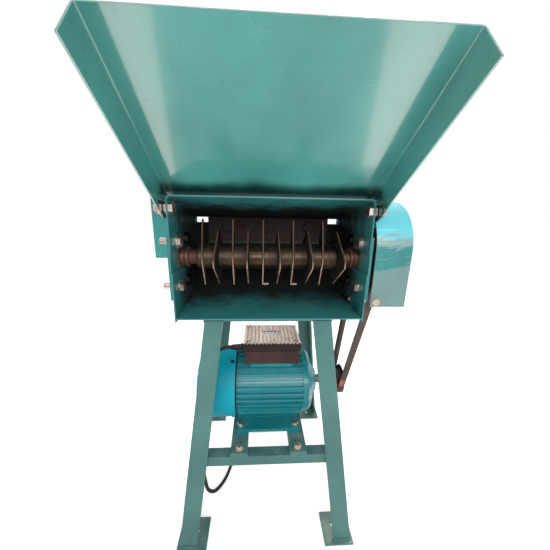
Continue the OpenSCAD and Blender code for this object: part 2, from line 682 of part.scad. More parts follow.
module motor_rails() color(teal) machine() for (s = [-1, 1]) difference() {
    translate([motor_x + s * foot_bolts_x / 2 - rail_w / 2, stand_y - bar_y, bar_z]) cube([rail_w, 2 * bar_y, rail_t]);
    for (y = [-1, 1]) {
        // slots that let the motor move to tighten the belt
        for (e = [-1, 1]) translate([motor_x + s * foot_bolts_x / 2, motor_in + y * foot_bolts_y / 2 + e * rail_slot / 2,
            bar_z - 1]) cylinder(d = m8 + 2 * bolt_fit, h = rail_t + 2);
        translate([motor_x + s * foot_bolts_x / 2 - m8 / 2 - bolt_fit, motor_in + y * foot_bolts_y / 2 - rail_slot / 2,
            bar_z - 1]) cube([m8 + 2 * bolt_fit, rail_slot, rail_t + 2]);
        translate([motor_x + s * foot_bolts_x / 2, stand_y + y * rail_bolt_y, bar_z - 1])
            cylinder(d = m8 + 2 * bolt_fit, h = rail_t + 2);
    }
}
module foot_plates() color(teal) machine() for (sx = [-1, 1], sy = [-1, 1]) quadrant(sx, sy)
    translate([leg_x(0) + 5 - foot_side, leg_y(0) + 5 - foot_side, 0]) difference() {
        cube([foot_side, foot_side, foot_plate_t]);
        translate([foot_side - 5 - foot_hole_in, foot_side - 5 - foot_hole_in, -1])
            cylinder(d = foot_hole_d, h = foot_plate_t + 2);
    }
post_x = 90;
module tray_posts() color(teal) machine() for (s = [-1, 1]) quadrant(s, 1) translate([post_x, stand_d / 2, stand_h])
    linear_extrude(tray_up - sheet) angle_profile();

// feed tray: floor, two sides and a front that closes the gap beside the box
throat_side = inner_x - 4;
module feed_tray() color(teal) machine() translate([0, box_d, tray_z]) {
    translate([-tray_w / 2, 0, -sheet]) cube([tray_w, tray_len, sheet]);
    for (s = [0, 1]) mirror([s, 0, 0]) translate([tray_w / 2 - sheet, 0, -sheet]) cube([sheet, tray_len, tray_h]);
    difference() {
        translate([-tray_w / 2, 0, -sheet]) cube([tray_w, sheet, tray_h]);
        translate([-throat_side, -1, 0]) cube([2 * throat_side, sheet + 2, box_top - roof_fall - sheet - tray_z]);
    }
}

// sheet cover over the tray, with a stiffening lip folded up at its back
cover_len = tray_len - 10;
cover_lap = 14;
module tray_cover() color(teal) machine() translate([0, box_d, tray_z - sheet + tray_h]) {
    w = tray_w / 2;
    translate([-w, 0, 0]) cube([2 * w, cover_len, sheet]);
    translate([-w, cover_len - sheet, 0]) cube([2 * w, sheet, cover_lap]);
}

// lead

module cable_gland() color(black) machine() translate([0, gland_y, gland_z]) {
    x = term_x - term_w / 2;
    difference() {
        union() {
            rod(16, x - 10, x);
            translate([x - gland_l, 0, 0]) turned([[0, 0], [5.5, 0], [7, gland_l - 10], [0, gland_l - 10]]);
        }
        rod(lead_d + 0.4, x - gland_l - 1, x + 1);
    }
}
function unit(v) = v / norm(v);
// points on a smooth curve through the route, with extra points between each pair
function between(p, i, t) = let (a = p[max(i - 1, 0)], b = p[i], c = p[i + 1], d = p[min(i + 2, len(p) - 1)])
    0.5 * (2 * b + (c - a) * t + (2 * a - 5 * b + 4 * c - d) * t * t + (3 * b - a - 3 * c + d) * t * t * t);
function smooth(p, n) = concat([for (i = [0 : len(p) - 2], k = [0 : n - 1]) between(p, i, k / n)], [p[len(p) - 1]]);
function heading(p, i) = unit(p[min(i + 1, len(p) - 1)] - p[max(i - 1, 0)]);
function across(v, t) = unit(v - (v * t) * t);
// side vectors carried along the path without twist
function carried(p, first) = [for (i = 0, v = across(first, heading(p, 0)); i < len(p);
    i = i + 1, v = i < len(p) ? across(v, heading(p, i)) : v) v];
module swept(p, r, sides, first) {
    v = carried(p, first);
    rings = [for (i = [0 : len(p) - 1], k = [0 : sides - 1])
        let (w = cross(heading(p, i), v[i]), a = k * 360 / sides) p[i] + r * (cos(a) * v[i] + sin(a) * w)];
    n = len(p);
    polyhedron(rings, concat([[for (k = [0 : sides - 1]) k]],
        [for (i = [0 : n - 2], k = [0 : sides - 1], h = [0, 1])
            let (a = i * sides + k, b = i * sides + (k + 1) % sides)
            h == 0 ? [a, b + sides, b] : [a, a + sides, b + sides]],
        [[for (k = [sides - 1 : -1 : 0]) (n - 1) * sides + k]]));
}
module mains_lead() color(black) machine() swept(smooth(lead_route, 2), lead_d / 2, 8, [0, 0, 1]);
// the coil winds in on the floor, climbs in the half turn where it reverses and winds out on top
coil_mid = coil_turns / 2;
function coil_radius(t) = coil_r - coil_pitch * (coil_mid - abs(t - coil_mid));
function coil_lift(t) = let (s = min(max((t - coil_mid + 0.25) * 2, 0), 1)) coil_rise * s * s * (3 - 2 * s);
function coil_point(t) = [coil_x + coil_radius(t) * sin(360 * t), coil_y - coil_radius(t) * cos(360 * t),
    coil_z + coil_lift(t)];
coil_end = coil_point(coil_turns);
coil_path = concat([[coil_x - lead_d, coil_y - coil_r, coil_z]],
    [for (i = [0 : coil_turns * coil_steps]) coil_point(i / coil_steps)],
    [for (k = [1 : 3]) coil_end - [k * plug_tail / 3, 0, 0]]);
least_gap = min([for (i = [0 : len(coil_path) - 1]) for (j = [i + coil_steps / 2 : len(coil_path) - 1])
    norm(coil_path[i] - coil_path[j])]) - lead_d;
echo(coil_least_gap = least_gap);
module lead_coil() color(black) machine() swept(coil_path, lead_d / 2, 6, [0, 0, 1]);
tie_w = 6;
module lead_tie() color(black) machine() translate([coil_x + coil_r - coil_pitch * 1.6, coil_y, 0]) difference() {
    translate([-coil_pitch * 2 - 2, -tie_w / 2, 0]) cube([coil_pitch * 4 + 3, tie_w, coil_z + coil_rise + lead_d / 2 + 2]);
    translate([-coil_pitch * 2 - 1, -tie_w, 1]) cube([coil_pitch * 4 + 1, 2 * tie_w, coil_z + coil_rise + lead_d / 2]);
}
plug_d = 27;
plug_l = 44;
module lead_plug() color(black) machine() translate(coil_end - [plug_tail, 0, 0]) mirror([1, 0, 0]) {
    turned([[0, 0], [6, 0], [8, 12], [plug_d / 2, 20], [plug_d / 2, plug_l], [0, plug_l]]);
    for (y = [-9.5, 9.5]) translate([plug_l - 1, y, 0]) rotate([0, 90, 0]) cylinder(d = 4.8, h = 20);
}
module lead_clips() color(zinc) machine() for (z = clip_heights) quadrant(-1, -1)
    translate([leg_x(z) - angle_t - 6.4, leg_y(z) - angle_t - 6.4, z]) rotate([asin(ty / lean), -splay_x, 0]) difference() {
        union() {
            cylinder(d = lead_d + 4, h = 10);
            translate([0, -3, 0]) cube([6.2, 6, 10]);
        }
        translate([0, 0, -1]) cylinder(d = lead_d + 1.4, h = 12);
    }

box_shell();
floor_plate();
rear_wall();
counter_plate();
counter_bolts();
rotor_shaft();
blade_spacers();
knife_blades();
cross_blades();
shaft_collars();
bearing_inner_rings();
rotor_pulley();
bearing_plate_left();
bearing_plate_right();
bearing_outer_rings();
bearing_bolts();
bearing_nuts();
hood();
hinge_bolts();
hinge_nuts();
drive_belt();
belt_guard();
guard_bracket();
guard_bolts();
motor_frame();
drive_end_shield();
fan_end_shield();
fan_cowl();
cooling_fan();
motor_shaft();
motor_pulley();
motor_bolts();
motor_nuts();
terminal_box();
terminal_lid();
lid_screws();
leg_front_left();
leg_front_right();
leg_rear_left();
leg_rear_right();
top_side_bars();
top_cross_bars();
front_cross_bar();
rear_cross_bar();
motor_rails();
foot_plates();
tray_posts();
feed_tray();
tray_cover();
cable_gland();
lead_clips();
mains_lead();
lead_coil();
lead_tie();
lead_plug();
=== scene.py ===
"""Looks of the chaff cutter, laid out as a Blender add-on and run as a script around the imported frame."""

import math

import bmesh
import bpy
from bpy.props import FloatProperty, FloatVectorProperty, PointerProperty
from mathutils import Matrix, Vector


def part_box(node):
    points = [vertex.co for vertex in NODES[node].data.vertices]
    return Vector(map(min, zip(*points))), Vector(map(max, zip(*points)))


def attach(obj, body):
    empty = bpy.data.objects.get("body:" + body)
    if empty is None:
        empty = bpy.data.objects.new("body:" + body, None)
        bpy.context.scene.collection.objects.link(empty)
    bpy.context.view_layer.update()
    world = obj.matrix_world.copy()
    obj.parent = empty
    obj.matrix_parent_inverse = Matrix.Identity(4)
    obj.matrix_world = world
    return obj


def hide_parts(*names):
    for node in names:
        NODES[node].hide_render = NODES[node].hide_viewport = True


bl_info = {
    "name": "Chaff Cutter",
    "version": (1, 0, 0),
    "blender": (4, 5, 0),
    "location": "View3D > Sidebar > Chaff Cutter",
    "description": "Finishes and small parts of an electric chaff cutter",
    "category": "Object",
}

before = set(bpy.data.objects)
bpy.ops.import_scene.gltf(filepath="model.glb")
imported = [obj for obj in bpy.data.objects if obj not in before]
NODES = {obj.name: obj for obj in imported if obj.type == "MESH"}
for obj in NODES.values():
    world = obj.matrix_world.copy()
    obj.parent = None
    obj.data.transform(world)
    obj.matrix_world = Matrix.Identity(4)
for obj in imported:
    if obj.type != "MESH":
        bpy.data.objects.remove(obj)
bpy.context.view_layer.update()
MM = 0.001
# The machine is centred front to back, this far behind the front edge of the box.
MID_Y = 146.6297


def at(x, y, z):
    """A point given in the drawing's millimetres, in the frame's metres."""
    return Vector((x, y - MID_Y, z)) * MM


# Camera, fitted to the photograph
CAMERA_AT = at(-21.48, -381.61, 686.79)
CAMERA_YAW, CAMERA_PITCH, CAMERA_ROLL = 0.0573, 0.25767, 0.02051
CAMERA_FOCAL_PX, PICTURE_PX, PRINCIPAL_LEFT_PX = 260.0, 550.0, 3.0

# Places and sizes repeated from the drawing, in its millimetres
BOX_MIDDLE, TRAY_MIDDLE = at(0, 80, 610), at(0, 310, 640)
WALL_X, BEARING_PLATE_X = 148.0, 154.0
BEARING_BOLT_Y, BEARING_BOLT_Z = (36, 80), (557, 631)
MOTOR_AXIS = at(0, 157, 287)
MOTOR_FOOT_TOP, MOTOR_BOLT_IN, COWL_R, COWL_RIM_X, SHIELD_X = 219.0, 7.5, 77.0, -75.0, 94.0
RAIL_W, RAIL_BOLT_IN, ANGLE_W = 35.0, 13.0, 35.0
ROTOR_Y, ROTOR_Z, BLADE_N, BLADE_PITCH, BLADE_T, RING_NUT_W = 58.0, 602.0, 10, 24.8, 2.0, 8.0
PLUG_FOOT = at(-52, 403, 14)
HINGE, HOOD_LIFT = at(0, 10, 682), math.radians(37)
HOOD_ALONG = Vector((0, -math.cos(HOOD_LIFT), math.sin(HOOD_LIFT)))
HOOD_UNDER = Vector((0, -math.sin(HOOD_LIFT), -math.cos(HOOD_LIFT)))

# Where finishes change: thread ends, the lid's ribs, the rubbed patch on the belt, and the band of painted
# reflection on the guard's front by its slope, its lower edge brought to x = 0 and its upper edge, in metres
THREADS_FROM, THREAD_PITCH, LID_RIBS_FROM = 0.1622, 0.0015, 411.4 * MM
BELT_PATCH = at(165, 128, 306)
REFLECTION_SLOPE, REFLECTION_FROM, REFLECTION_TO = 0.19, 0.563, 0.629

# Pieces that only the scene has, in millimetres: washers by inner and outer radius and thickness, bolt heads
# by their flats and height, screws by their width and height
WASHER_M10, WASHER_M8, SHIELD_BOSS = (5.1, 10.6, 1.6), (4.1, 8.8, 1.4), (3.1, 7.0, 5.0)
RAIL_HEAD, RAIL_HEAD_UP, SHIELD_HEAD, SHIELD_HEAD_UP = (13, 5.3), 1.3, (10, 4.0), 4.5
SHIELD_BOLT_R, SHIELD_BOLT_TURNS = 54.0, (45, 135, 225, 315)
COWL_SCREW, COWL_SCREW_IN, COWL_SCREW_TURNS = (8.0, 2.6), 0.4, (115, 235, 355)
# The knives' shorter lower arms and the spacers' fine grooves
KNIFE_TIP_FROM, KNIFE_TIP_UP = 45.0, 15.0
SPACER_R, SPACER_BORE, SPACER_GROOVES, SPACER_DIP = 20.0, 12.55, 7, 0.6
# Trim of the terminal box: the bare plate, the lid's skirt and the sunk panel
LID_FIELD, LID_PLATE = at(10.5, 144.5, 411.8), (35.0, 17.0, 0.9)
LID_PLATE_CORNER, LID_PLATE_RIM, LID_PLATE_SUNK = 2.5, 1.1, 0.3
LID_SCREW, LID_SCREW_AT, LID_SCREW_UP = (2.2, 0.8), (14.5, 5.6), 0.1
SKIRT_H, SKIRT_WALL, SKIRT_CORNER = 7.0, 1.9, 2.0
PANEL_T, PANEL_IN, PANEL_LOWER, PANEL_DOWN = 1.8, 2.0, 11.0, 3.5
PANEL_FRAME, PANEL_SUNK, PANEL_EASED = 4.0, 1.2, 0.5
WELD_R = 2.1

# Lead: the drawing's route and coil
LEAD_D = 8.0
LEAD_ROUTE = [
    (-77, 126, 391), (-86, 126, 391), (-98, 122, 389), (-110, 109, 385), (-118, 92, 377),
    (-122.5, 75, 366), (-125.2, 61.4, 350), (-127, 59.2, 335), (-128.9, 56.9, 320), (-132, 55, 295),
    (-135, 57, 270), (-138, 63, 245), (-140, 71, 222), (-141, 76, 200), (-141, 78, 165), (-140.5, 80, 120),
    (-139, 84, 75), (-135, 91, 36), (-124, 104, 12), (-110, 123, 5.4), (-97, 150, 5.2), (-87, 190, 5.2),
    (-80, 228, 5.2), (-73, 258, 5.2), (-60, 278, 5.2), (-40, 287, 5.2), (-20, 287, 5.2), (-12, 287, 5.2),
]
COIL_X, COIL_Y, COIL_Z, COIL_R = -4.0, 345.0, 5.2, 58.0
COIL_PITCH, COIL_TURNS, COIL_RISE, COIL_STEPS, PLUG_TAIL = 8.9, 6.5, 8.8, 32, 48.0
# The plug from its cable end to its face, and a pin, as (radius, along)
PLUG_PROFILE = [
    (0, 0), (5.6, 0), (5.6, 2), (4.9, 2.6), (4.9, 3.6), (6.3, 4.2), (6.3, 6.2), (5.5, 6.8), (5.5, 7.8),
    (7.2, 8.4), (7.2, 10.4), (6.3, 11), (6.3, 12), (8.4, 12.6), (12.6, 19), (13.4, 21), (13.4, 24),
    (12.6, 25), (12.6, 27), (13.4, 28), (13.4, 31), (12.6, 32), (12.6, 34), (13.4, 35), (13.4, 42.6),
    (12.4, 44), (0, 44),
]
PIN_PROFILE, PIN_OUT, PIN_FROM = [(0, 0), (2.4, 0), (2.4, 17.2), (1.9, 18.5), (0.9, 19), (0, 19)], 9.5, 43.6

# Lamps, in metres: name, place, aim, size and power, then colour and spread where they aren't plain
WARM, PINK, ROSE = (1.0, 0.95, 0.92), (1.0, 0.90, 0.85), (1.0, 0.80, 0.76)
LAMPS = [
    ("key", (-0.9, -1.6, 1.5), (0, -0.1, 0.5), (1.2, 1.0), 8.0),
    ("front", (0.35, -1.5, 1.10), (0, 0, 0.40), (1.0, 0.5), 11.0, (1.0, 0.96, 0.94)),
    ("back", (0.3, 1.1, 2.6), (0, 0, 0.4), (1.6, 0.8), 36.0, WARM),
    ("side", (-0.95, 0.22, 0.78), (0, 0, 0.40), (0.3, 0.2), 0.18, PINK, 24),
    ("side", (0.95, 0.22, 0.78), (0, 0, 0.40), (0.3, 0.2), 0.18, PINK, 24),
]
# Lamps laid on the floor like cards, which the hood mirrors: their edges in the drawing's millimetres
CARDS, CARD_Y, CARD_Z, CARD_DEPTH, CARD_POWER = ((-950, -345), (390, 995)), -60, 6, 0.72, 4.3
FLOOR_SIZE, FLOOR_Z, FLOOR_GREY, FLOOR_LIFT, SURROUND = 8.0, -0.0005, 0.86, 0.62, 0.42


class FinishColours(bpy.types.PropertyGroup):
    """Colours of the paints, metals and plastics, linear."""

    box: FloatVectorProperty(
        name="Box paint", description="Enamel on the rotor box", subtype="COLOR",
        default=(0.030, 0.225, 0.225))
    hood: FloatVectorProperty(
        name="Hood paint", description="Enamel on the hood", subtype="COLOR", default=(0.066, 0.300, 0.270))
    stand: FloatVectorProperty(
        name="Stand paint", description="Enamel on the angle iron", subtype="COLOR",
        default=(0.066, 0.205, 0.190))
    # The guard's colour is the bright cyan of a painted sky reflection on its upper part, brighter than its
    # paint.
    guard: FloatVectorProperty(
        name="Guard paint and sky reflection", description="Enamel on the belt guard", subtype="COLOR",
        default=(0.150, 0.690, 0.800))
    motor: FloatVectorProperty(
        name="Motor paint", description="Enamel on the motor", subtype="COLOR", default=(0.003, 0.255, 0.300))
    steel: FloatVectorProperty(
        name="Rotor steel", description="Bare brown steel of the rotor", subtype="COLOR",
        default=(0.120, 0.075, 0.050))
    zinc: FloatVectorProperty(
        name="Zinc", description="Plated bolts and nuts", subtype="COLOR", default=(0.720, 0.580, 0.510))
    plastic: FloatVectorProperty(
        name="Terminal box", description="Brown-black plastic", subtype="COLOR",
        default=(0.050, 0.026, 0.022))
    belt: FloatVectorProperty(
        name="Belt", description="Brown-black rubber", subtype="COLOR", default=(0.050, 0.030, 0.022))


class FinishWear(bpy.types.PropertyGroup):
    """How worn and dusty the machine is, and how its edges are rounded."""

    edge: FloatProperty(
        name="Edge wear", description="Width of worn paint along edges", subtype="DISTANCE", default=0.0012)
    dust: FloatProperty(
        name="Dust", description="Share of the dust on the enamel", subtype="FACTOR", min=0, max=1, default=1)
    round: FloatProperty(
        name="Edge rounding", description="Radius of the rounded look of edges", subtype="DISTANCE",
        default=0.0008)


def colours():
    return bpy.context.scene.cutter_colours


def wear():
    return bpy.context.scene.cutter_wear


# Shader nodes


def node(tree, kind, inputs, **settings):
    """Adds a shader node with its settings and with its inputs linked or set, and gives its outputs."""
    made = tree.nodes.new("ShaderNode" + kind)
    for label, value in settings.items():
        setattr(made, label, value)
    for label, value in inputs.items():
        if isinstance(value, bpy.types.NodeSocket):
            tree.links.new(value, made.inputs[label])
        elif value is not None:
            made.inputs[label].default_value = value
    return made.outputs


def math_node(tree, operation, a, b=None, clamp=False):
    return node(tree, "Math", {0: a, 1: b}, operation=operation, use_clamp=clamp)[0]


def plus(tree, a, b, clamp=False):
    return math_node(tree, "ADD", a, b, clamp)


def minus(tree, a, b, clamp=False):
    return math_node(tree, "SUBTRACT", a, b, clamp)


def times(tree, a, b, clamp=False):
    return math_node(tree, "MULTIPLY", a, b, clamp)


def vector_math(tree, operation, a, b):
    """The vector of a Vector Math node, or its number where the operation gives one."""
    outputs = node(tree, "VectorMath", {0: a, 1: b}, operation=operation)
    return outputs["Vector" if operation == "SUBTRACT" else "Value"]


def axes(tree, vector):
    """The X, Y and Z of a vector."""
    return node(tree, "SeparateXYZ", {0: vector})


def face_normal(tree):
    return node(tree, "NewGeometry", {})["Normal"]


def facing(tree):
    """How far a face looks along X, Y and Z."""
    return axes(tree, face_normal(tree))


def rounded(tree, radius):
    """The normal with its edges rounded."""
    return node(tree, "Bevel", {"Radius": radius}, samples=4)[0]


def ramp(tree, value, low, high):
    """value mapped from low..high to 0..1, smoothly."""
    return node(tree, "MapRange", {"Value": value, "From Min": low, "From Max": high},
                interpolation_type="SMOOTHSTEP")["Result"]


def noise(tree, vector, scale, detail=4.0, rough=0.55, stretch=None):
    """Noise on a vector, optionally stretched along an axis."""
    if stretch:
        vector = node(tree, "Mapping", {"Vector": vector, "Scale": stretch})[0]
    inputs = {"Vector": vector, "Scale": scale, "Detail": detail, "Roughness": rough}
    return node(tree, "TexNoise", inputs)["Fac"]


def swing(tree, value, reach):
    """A noise's value as a shift to both sides of nothing."""
    return times(tree, minus(tree, value, 0.5), reach)


def bands(tree, vector, direction, scale, distortion=0.0):
    """Wave bands across a direction."""
    return node(tree, "TexWave", {"Vector": vector, "Scale": scale, "Distortion": distortion},
                bands_direction=direction)["Fac"]


def mix(tree, fac, a, b):
    """A colour mix of sockets or colours."""
    a, b = (c if isinstance(c, bpy.types.NodeSocket) else (*c[:3], 1.0) for c in (a, b))
    return node(tree, "Mix", {0: fac, 6: a, 7: b}, data_type="RGBA")[2]


# Shader node groups


def new_group(name, vectors, numbers, outputs):
    """A shader node group of vector and number inputs and number outputs, and the sockets of its ends."""
    group = bpy.data.node_groups.new(name, "ShaderNodeTree")
    for label in vectors:
        group.interface.new_socket(label, in_out="INPUT", socket_type="NodeSocketVector")
    for label, default in numbers.items():
        socket = group.interface.new_socket(label, in_out="INPUT", socket_type="NodeSocketFloat")
        socket.default_value = default
    for label in outputs:
        group.interface.new_socket(label, in_out="OUTPUT", socket_type="NodeSocketFloat")
    return group, group.nodes.new("NodeGroupInput").outputs, group.nodes.new("NodeGroupOutput").inputs


def build_edge_group():
    """Rims, where the rounded normal leaves the flat one, and the worn parts of them, broken up by noise."""
    group, given, out = new_group(
        "worn_edges", ["Vector"], {"Radius": 0.001, "Break Scale": 120.0, "Amount": 0.5}, ["Mask", "Rim"])
    level = vector_math(group, "DOT_PRODUCT", rounded(group, given["Radius"]), face_normal(group))
    rim = ramp(group, minus(group, 1.0, level), 0.02, 0.22)
    broken = noise(group, given["Vector"], given["Break Scale"], 5.0, 0.65)
    worn = ramp(group, plus(group, broken, times(group, given["Amount"], 0.3)), 0.55, 0.68)
    group.links.new(times(group, rim, worn), out["Mask"])
    group.links.new(rim, out["Rim"])
    return group


def build_mottle_group():
    """Broad patches, fine grain, scuffs and specks of a used painted or bare surface."""
    group, given, out = new_group(
        "mottle", ["Vector"], {"Patch Scale": 9.0, "Grain Scale": 420.0},
        ["Patch", "Grain", "Scuff", "Speck"])
    vector = given["Vector"]
    scuff = noise(group, vector, 26.0, 6.0, 0.7, (1.0, 1.0, 7.0))
    group.links.new(ramp(group, noise(group, vector, given["Patch Scale"], 3.0), 0.3, 0.7), out["Patch"])
    group.links.new(noise(group, vector, given["Grain Scale"], 2.0), out["Grain"])
    group.links.new(ramp(group, scuff, 0.62, 0.78), out["Scuff"])
    group.links.new(ramp(group, noise(group, vector, 190.0, 2.0), 0.68, 0.74), out["Speck"])
    return group


def build_dust_group():
    """Dust that settles on faces that look up, in patches."""
    group, given, out = new_group("settled_dust", ["Vector"], {"Amount": 0.3}, ["Mask"])
    up = ramp(group, facing(group)["Z"], 0.2, 1.0)
    patchy = ramp(group, noise(group, given["Vector"], 38.0, 6.0, 0.65), 0.32, 0.72)
    group.links.new(times(group, times(group, up, patchy), given["Amount"], True), out["Mask"])
    return group


def build_inside_group():
    """Painted shade on faces that look at a middle, darker from an unshaded place along Y to a shaded one."""
    group, given, out = new_group(
        "inside_soot", ["Vector", "Middle"], {"Clean": -0.15, "Sooty": 0.0}, ["Mask"])
    vector = given["Vector"]
    towards = vector_math(group, "SUBTRACT", vector, given["Middle"])
    inside = ramp(group, vector_math(group, "DOT_PRODUCT", towards, face_normal(group)), 0.0, -0.01)
    deep = node(group, "MapRange", {
        "Value": axes(group, vector)["Y"], "From Min": given["Clean"], "From Max": given["Sooty"]})["Result"]
    ragged = swing(group, noise(group, vector, 24.0, 6.0, 0.65), 1.3)
    reach = ramp(group, plus(group, deep, ragged), 0.12, 0.85)
    group.links.new(times(group, inside, reach), out["Mask"])
    return group


GROUPS = {}


# Finishes


class Finish:
    """A material with its Principled BSDF, its Object coordinates and its base colour at hand."""

    def __init__(self, name, **sockets):
        self.material = bpy.data.materials.new(name)
        self.material.use_nodes = True
        self.tree = self.material.node_tree
        self.sockets = self.tree.nodes["Principled BSDF"].inputs
        self.vector = node(self.tree, "TexCoord", {})["Object"]
        self.base = None
        for label, value in sockets.items():
            self.sockets[label.replace("_", " ")].default_value = value

    def place(self, group, **values):
        """A node group with its own values, and its outputs."""
        inputs = {label.replace("_", " "): value for label, value in values.items()}
        return node(self.tree, "Group", {"Vector": self.vector, **inputs}, node_tree=GROUPS[group])

    def over(self, mask, colour, amount=None):
        """Lays a colour over the base where a mask is, or by an amount of it."""
        if amount is not None:
            mask = times(self.tree, mask, amount)
        self.base = mix(self.tree, mask, self.base, colour)

    def feed(self, label, socket):
        self.tree.links.new(socket, self.sockets[label])

    def done(self, rough, height, strength, distance, edge_radius=None):
        """The material, with its roughness and a bump, over rounded edges where a radius is given."""
        edges = rounded(self.tree, edge_radius) if edge_radius else None
        self.feed("Base Color", self.base)
        self.feed("Roughness", rough)
        self.feed("Normal", node(self.tree, "Bump", {
            "Strength": strength, "Distance": distance, "Height": height, "Normal": edges})[0])
        return self.material


def tinted(colour, factor, shift=0.0):
    return tuple(max(0.0, c * factor + shift) for c in colour)


CHIPPED, ENAMEL_DUST, GUARD_DUST = (0.20, 0.165, 0.14), (0.42, 0.41, 0.36), (0.45, 0.44, 0.40)
# The three colours on the next line are painted shade: near black inside the box, dark brown on the tray's
# floor, dark on the bolt heads deep inside the box.
INSIDE_SHADE, TRAY_SHADE, BOLT_SHADE = (0.003, 0.0035, 0.004), (0.024, 0.020, 0.014), (0.02, 0.016, 0.014)
# The pale copper rim colour on the next line is a painted highlight on the knives' rims.
ZINC_RUST, ZINC_RIM, RIM_HIGHLIGHT = (0.28, 0.17, 0.10), (0.85, 0.80, 0.75), (0.88, 0.56, 0.42)
PLASTIC_DUST, BELT_RED = (0.40, 0.34, 0.30), (0.62, 0.16, 0.09)


def shade_by_hinge(t, vector, patch, reach):
    """Painted shade on the hood's underside, as far from its hinge as reach."""
    away = vector_math(t, "SUBTRACT", vector, HINGE)
    run = vector_math(t, "DOT_PRODUCT", away, HOOD_ALONG)
    hinge_shade = ramp(t, plus(t, run, swing(t, patch, reach * 0.35)), reach, reach * 0.35)
    skin = min((v.co - HINGE).dot(HOOD_UNDER) for v in NODES["hood"].data.vertices)
    under = vector_math(t, "DOT_PRODUCT", away, HOOD_UNDER)
    return times(t, hinge_shade, ramp(t, under, skin + 0.0004, skin + 0.001))


def enamel(name, colour, gloss, coat, chips, dust, orange_peel=0.05, soot=None, shade_reach=None,
           shade_colour=INSIDE_SHADE, floor_only=False, specular=0.5):
    """Brushed or sprayed enamel: patches, chips and dust; painted shade inside a box, or painted shade by the
    hinge.
    """
    f = Finish(name, Coat_Weight=coat, Coat_Roughness=0.08, Specular_IOR_Level=specular)
    t = f.tree
    m = f.place("mottle", Patch_Scale=7.0)
    e = f.place("worn_edges", Radius=wear().edge, Amount=chips)
    d = f.place("settled_dust", Amount=dust * wear().dust)
    f.base = mix(t, m["Patch"], tinted(colour, 0.86), tinted(colour, 1.10, 0.004))
    f.over(m["Scuff"], tinted(colour, 0.8, 0.07), 0.30)
    f.over(m["Speck"], tinted(colour, 0.45), 0.35)
    f.over(e["Rim"], tinted(colour, 1.1, 0.10), 0.25)
    f.over(e["Mask"], CHIPPED)
    f.over(d["Mask"], ENAMEL_DUST)
    rough = plus(t, times(t, m["Scuff"], 0.25), gloss)
    rough = plus(t, rough, times(t, m["Patch"], 0.08))
    # Painted shade on faces inside a box, darkening along Y, with the coat taken off and the roughness raised
    # there.
    if soot:
        middle, unshaded, thick, amount = soot
        shaded = times(t, f.place("inside_soot", Middle=middle, Clean=unshaded, Sooty=thick)["Mask"], amount)
        # Where asked, only faces that look up get this painted shade.
        if floor_only:
            shaded = times(t, shaded, ramp(t, facing(t)["Z"], 0.3, 0.7))
        f.over(shaded, shade_colour)
        f.feed("Coat Weight", times(t, minus(t, 1.0, shaded), coat))
        rough = plus(t, rough, times(t, shaded, 0.55))
    # Painted shade on the hood's underside along its hinge.
    if shade_reach:
        f.over(shade_by_hinge(t, f.vector, m["Patch"], shade_reach), tinted(colour, 0.10), 0.9)
    rough = plus(t, rough, times(t, d["Mask"], 0.4), True)
    return f.done(rough, minus(t, m["Grain"], times(t, e["Mask"], 1.5)), orange_peel, 0.0004, wear().round)


def reflection_banded(name, upper, lower, band_reflection, low_z, high_z):
    """Thin enamel with painted reflections: the reflected ground greyish below and the reflected sky bright
    above. Across its front runs a slanting dark band of painted reflection with a pale band over it and pale
    reflected streaks above that."""
    f = Finish(name, Coat_Weight=0.12, Coat_Roughness=0.1, Specular_IOR_Level=0.3)
    t = f.tree
    m = f.place("mottle", Patch_Scale=14.0)
    e = f.place("worn_edges", Radius=wear().edge, Amount=0.3)
    d = f.place("settled_dust", Amount=0.12)
    spot = axes(t, f.vector)
    front = ramp(t, facing(t)["Y"], -0.3, -0.7)
    streak_and_reflection = ramp(t, noise(t, f.vector, 60.0, 5.0, 0.6, (0.10, 0.9, 1.0)), 0.52, 0.70)
    level = plus(t, spot["Z"], swing(t, noise(t, f.vector, 60.0, 5.0, 0.6, (0.25, 1.0, 1.0)), 0.03))
    slanting = plus(t, level, times(t, spot["X"], -REFLECTION_SLOPE))
    along = node(t, "CombineXYZ", {"X": times(t, spot["X"], 0.1), "Z": slanting})[0]
    lines = ramp(t, noise(t, along, 230.0, 4.0, 0.6), 0.44, 0.64)
    lifted = plus(t, level, swing(t, lines, 0.008))
    reflected_lines = mix(t, times(t, lines, 0.45), band_reflection, tinted(lower, 0.95))
    banded = mix(t, ramp(t, slanting, REFLECTION_FROM - 0.001, REFLECTION_FROM + 0.001), lower, reflected_lines)
    banded = mix(t, ramp(t, lifted, REFLECTION_TO - 0.003, REFLECTION_TO + 0.003), banded, tinted(lower, 1.3))
    banded = mix(t, ramp(t, lifted, REFLECTION_TO + 0.010, REFLECTION_TO + 0.024), banded, upper)
    f.base = mix(t, front, mix(t, ramp(t, spot["Z"], low_z, high_z), lower, upper), banded)
    f.over(m["Patch"], tinted(upper, 0.8), 0.2)
    reflection_band = times(t, ramp(t, spot["Z"], REFLECTION_TO, REFLECTION_TO + 0.015),
                   ramp(t, spot["Z"], REFLECTION_TO + 0.055, REFLECTION_TO + 0.025))
    f.over(times(t, streak_and_reflection, times(t, reflection_band, 0.7)), tinted(upper, 0.8, 0.30))
    f.over(m["Scuff"], tinted(lower, 1.1, 0.06), 0.15)
    f.over(e["Mask"], CHIPPED)
    f.over(d["Mask"], GUARD_DUST)
    rough = plus(t, times(t, m["Scuff"], 0.2), 0.24)
    return f.done(rough, plus(t, m["Grain"], streak_and_reflection), 0.08, 0.0004, wear().round)


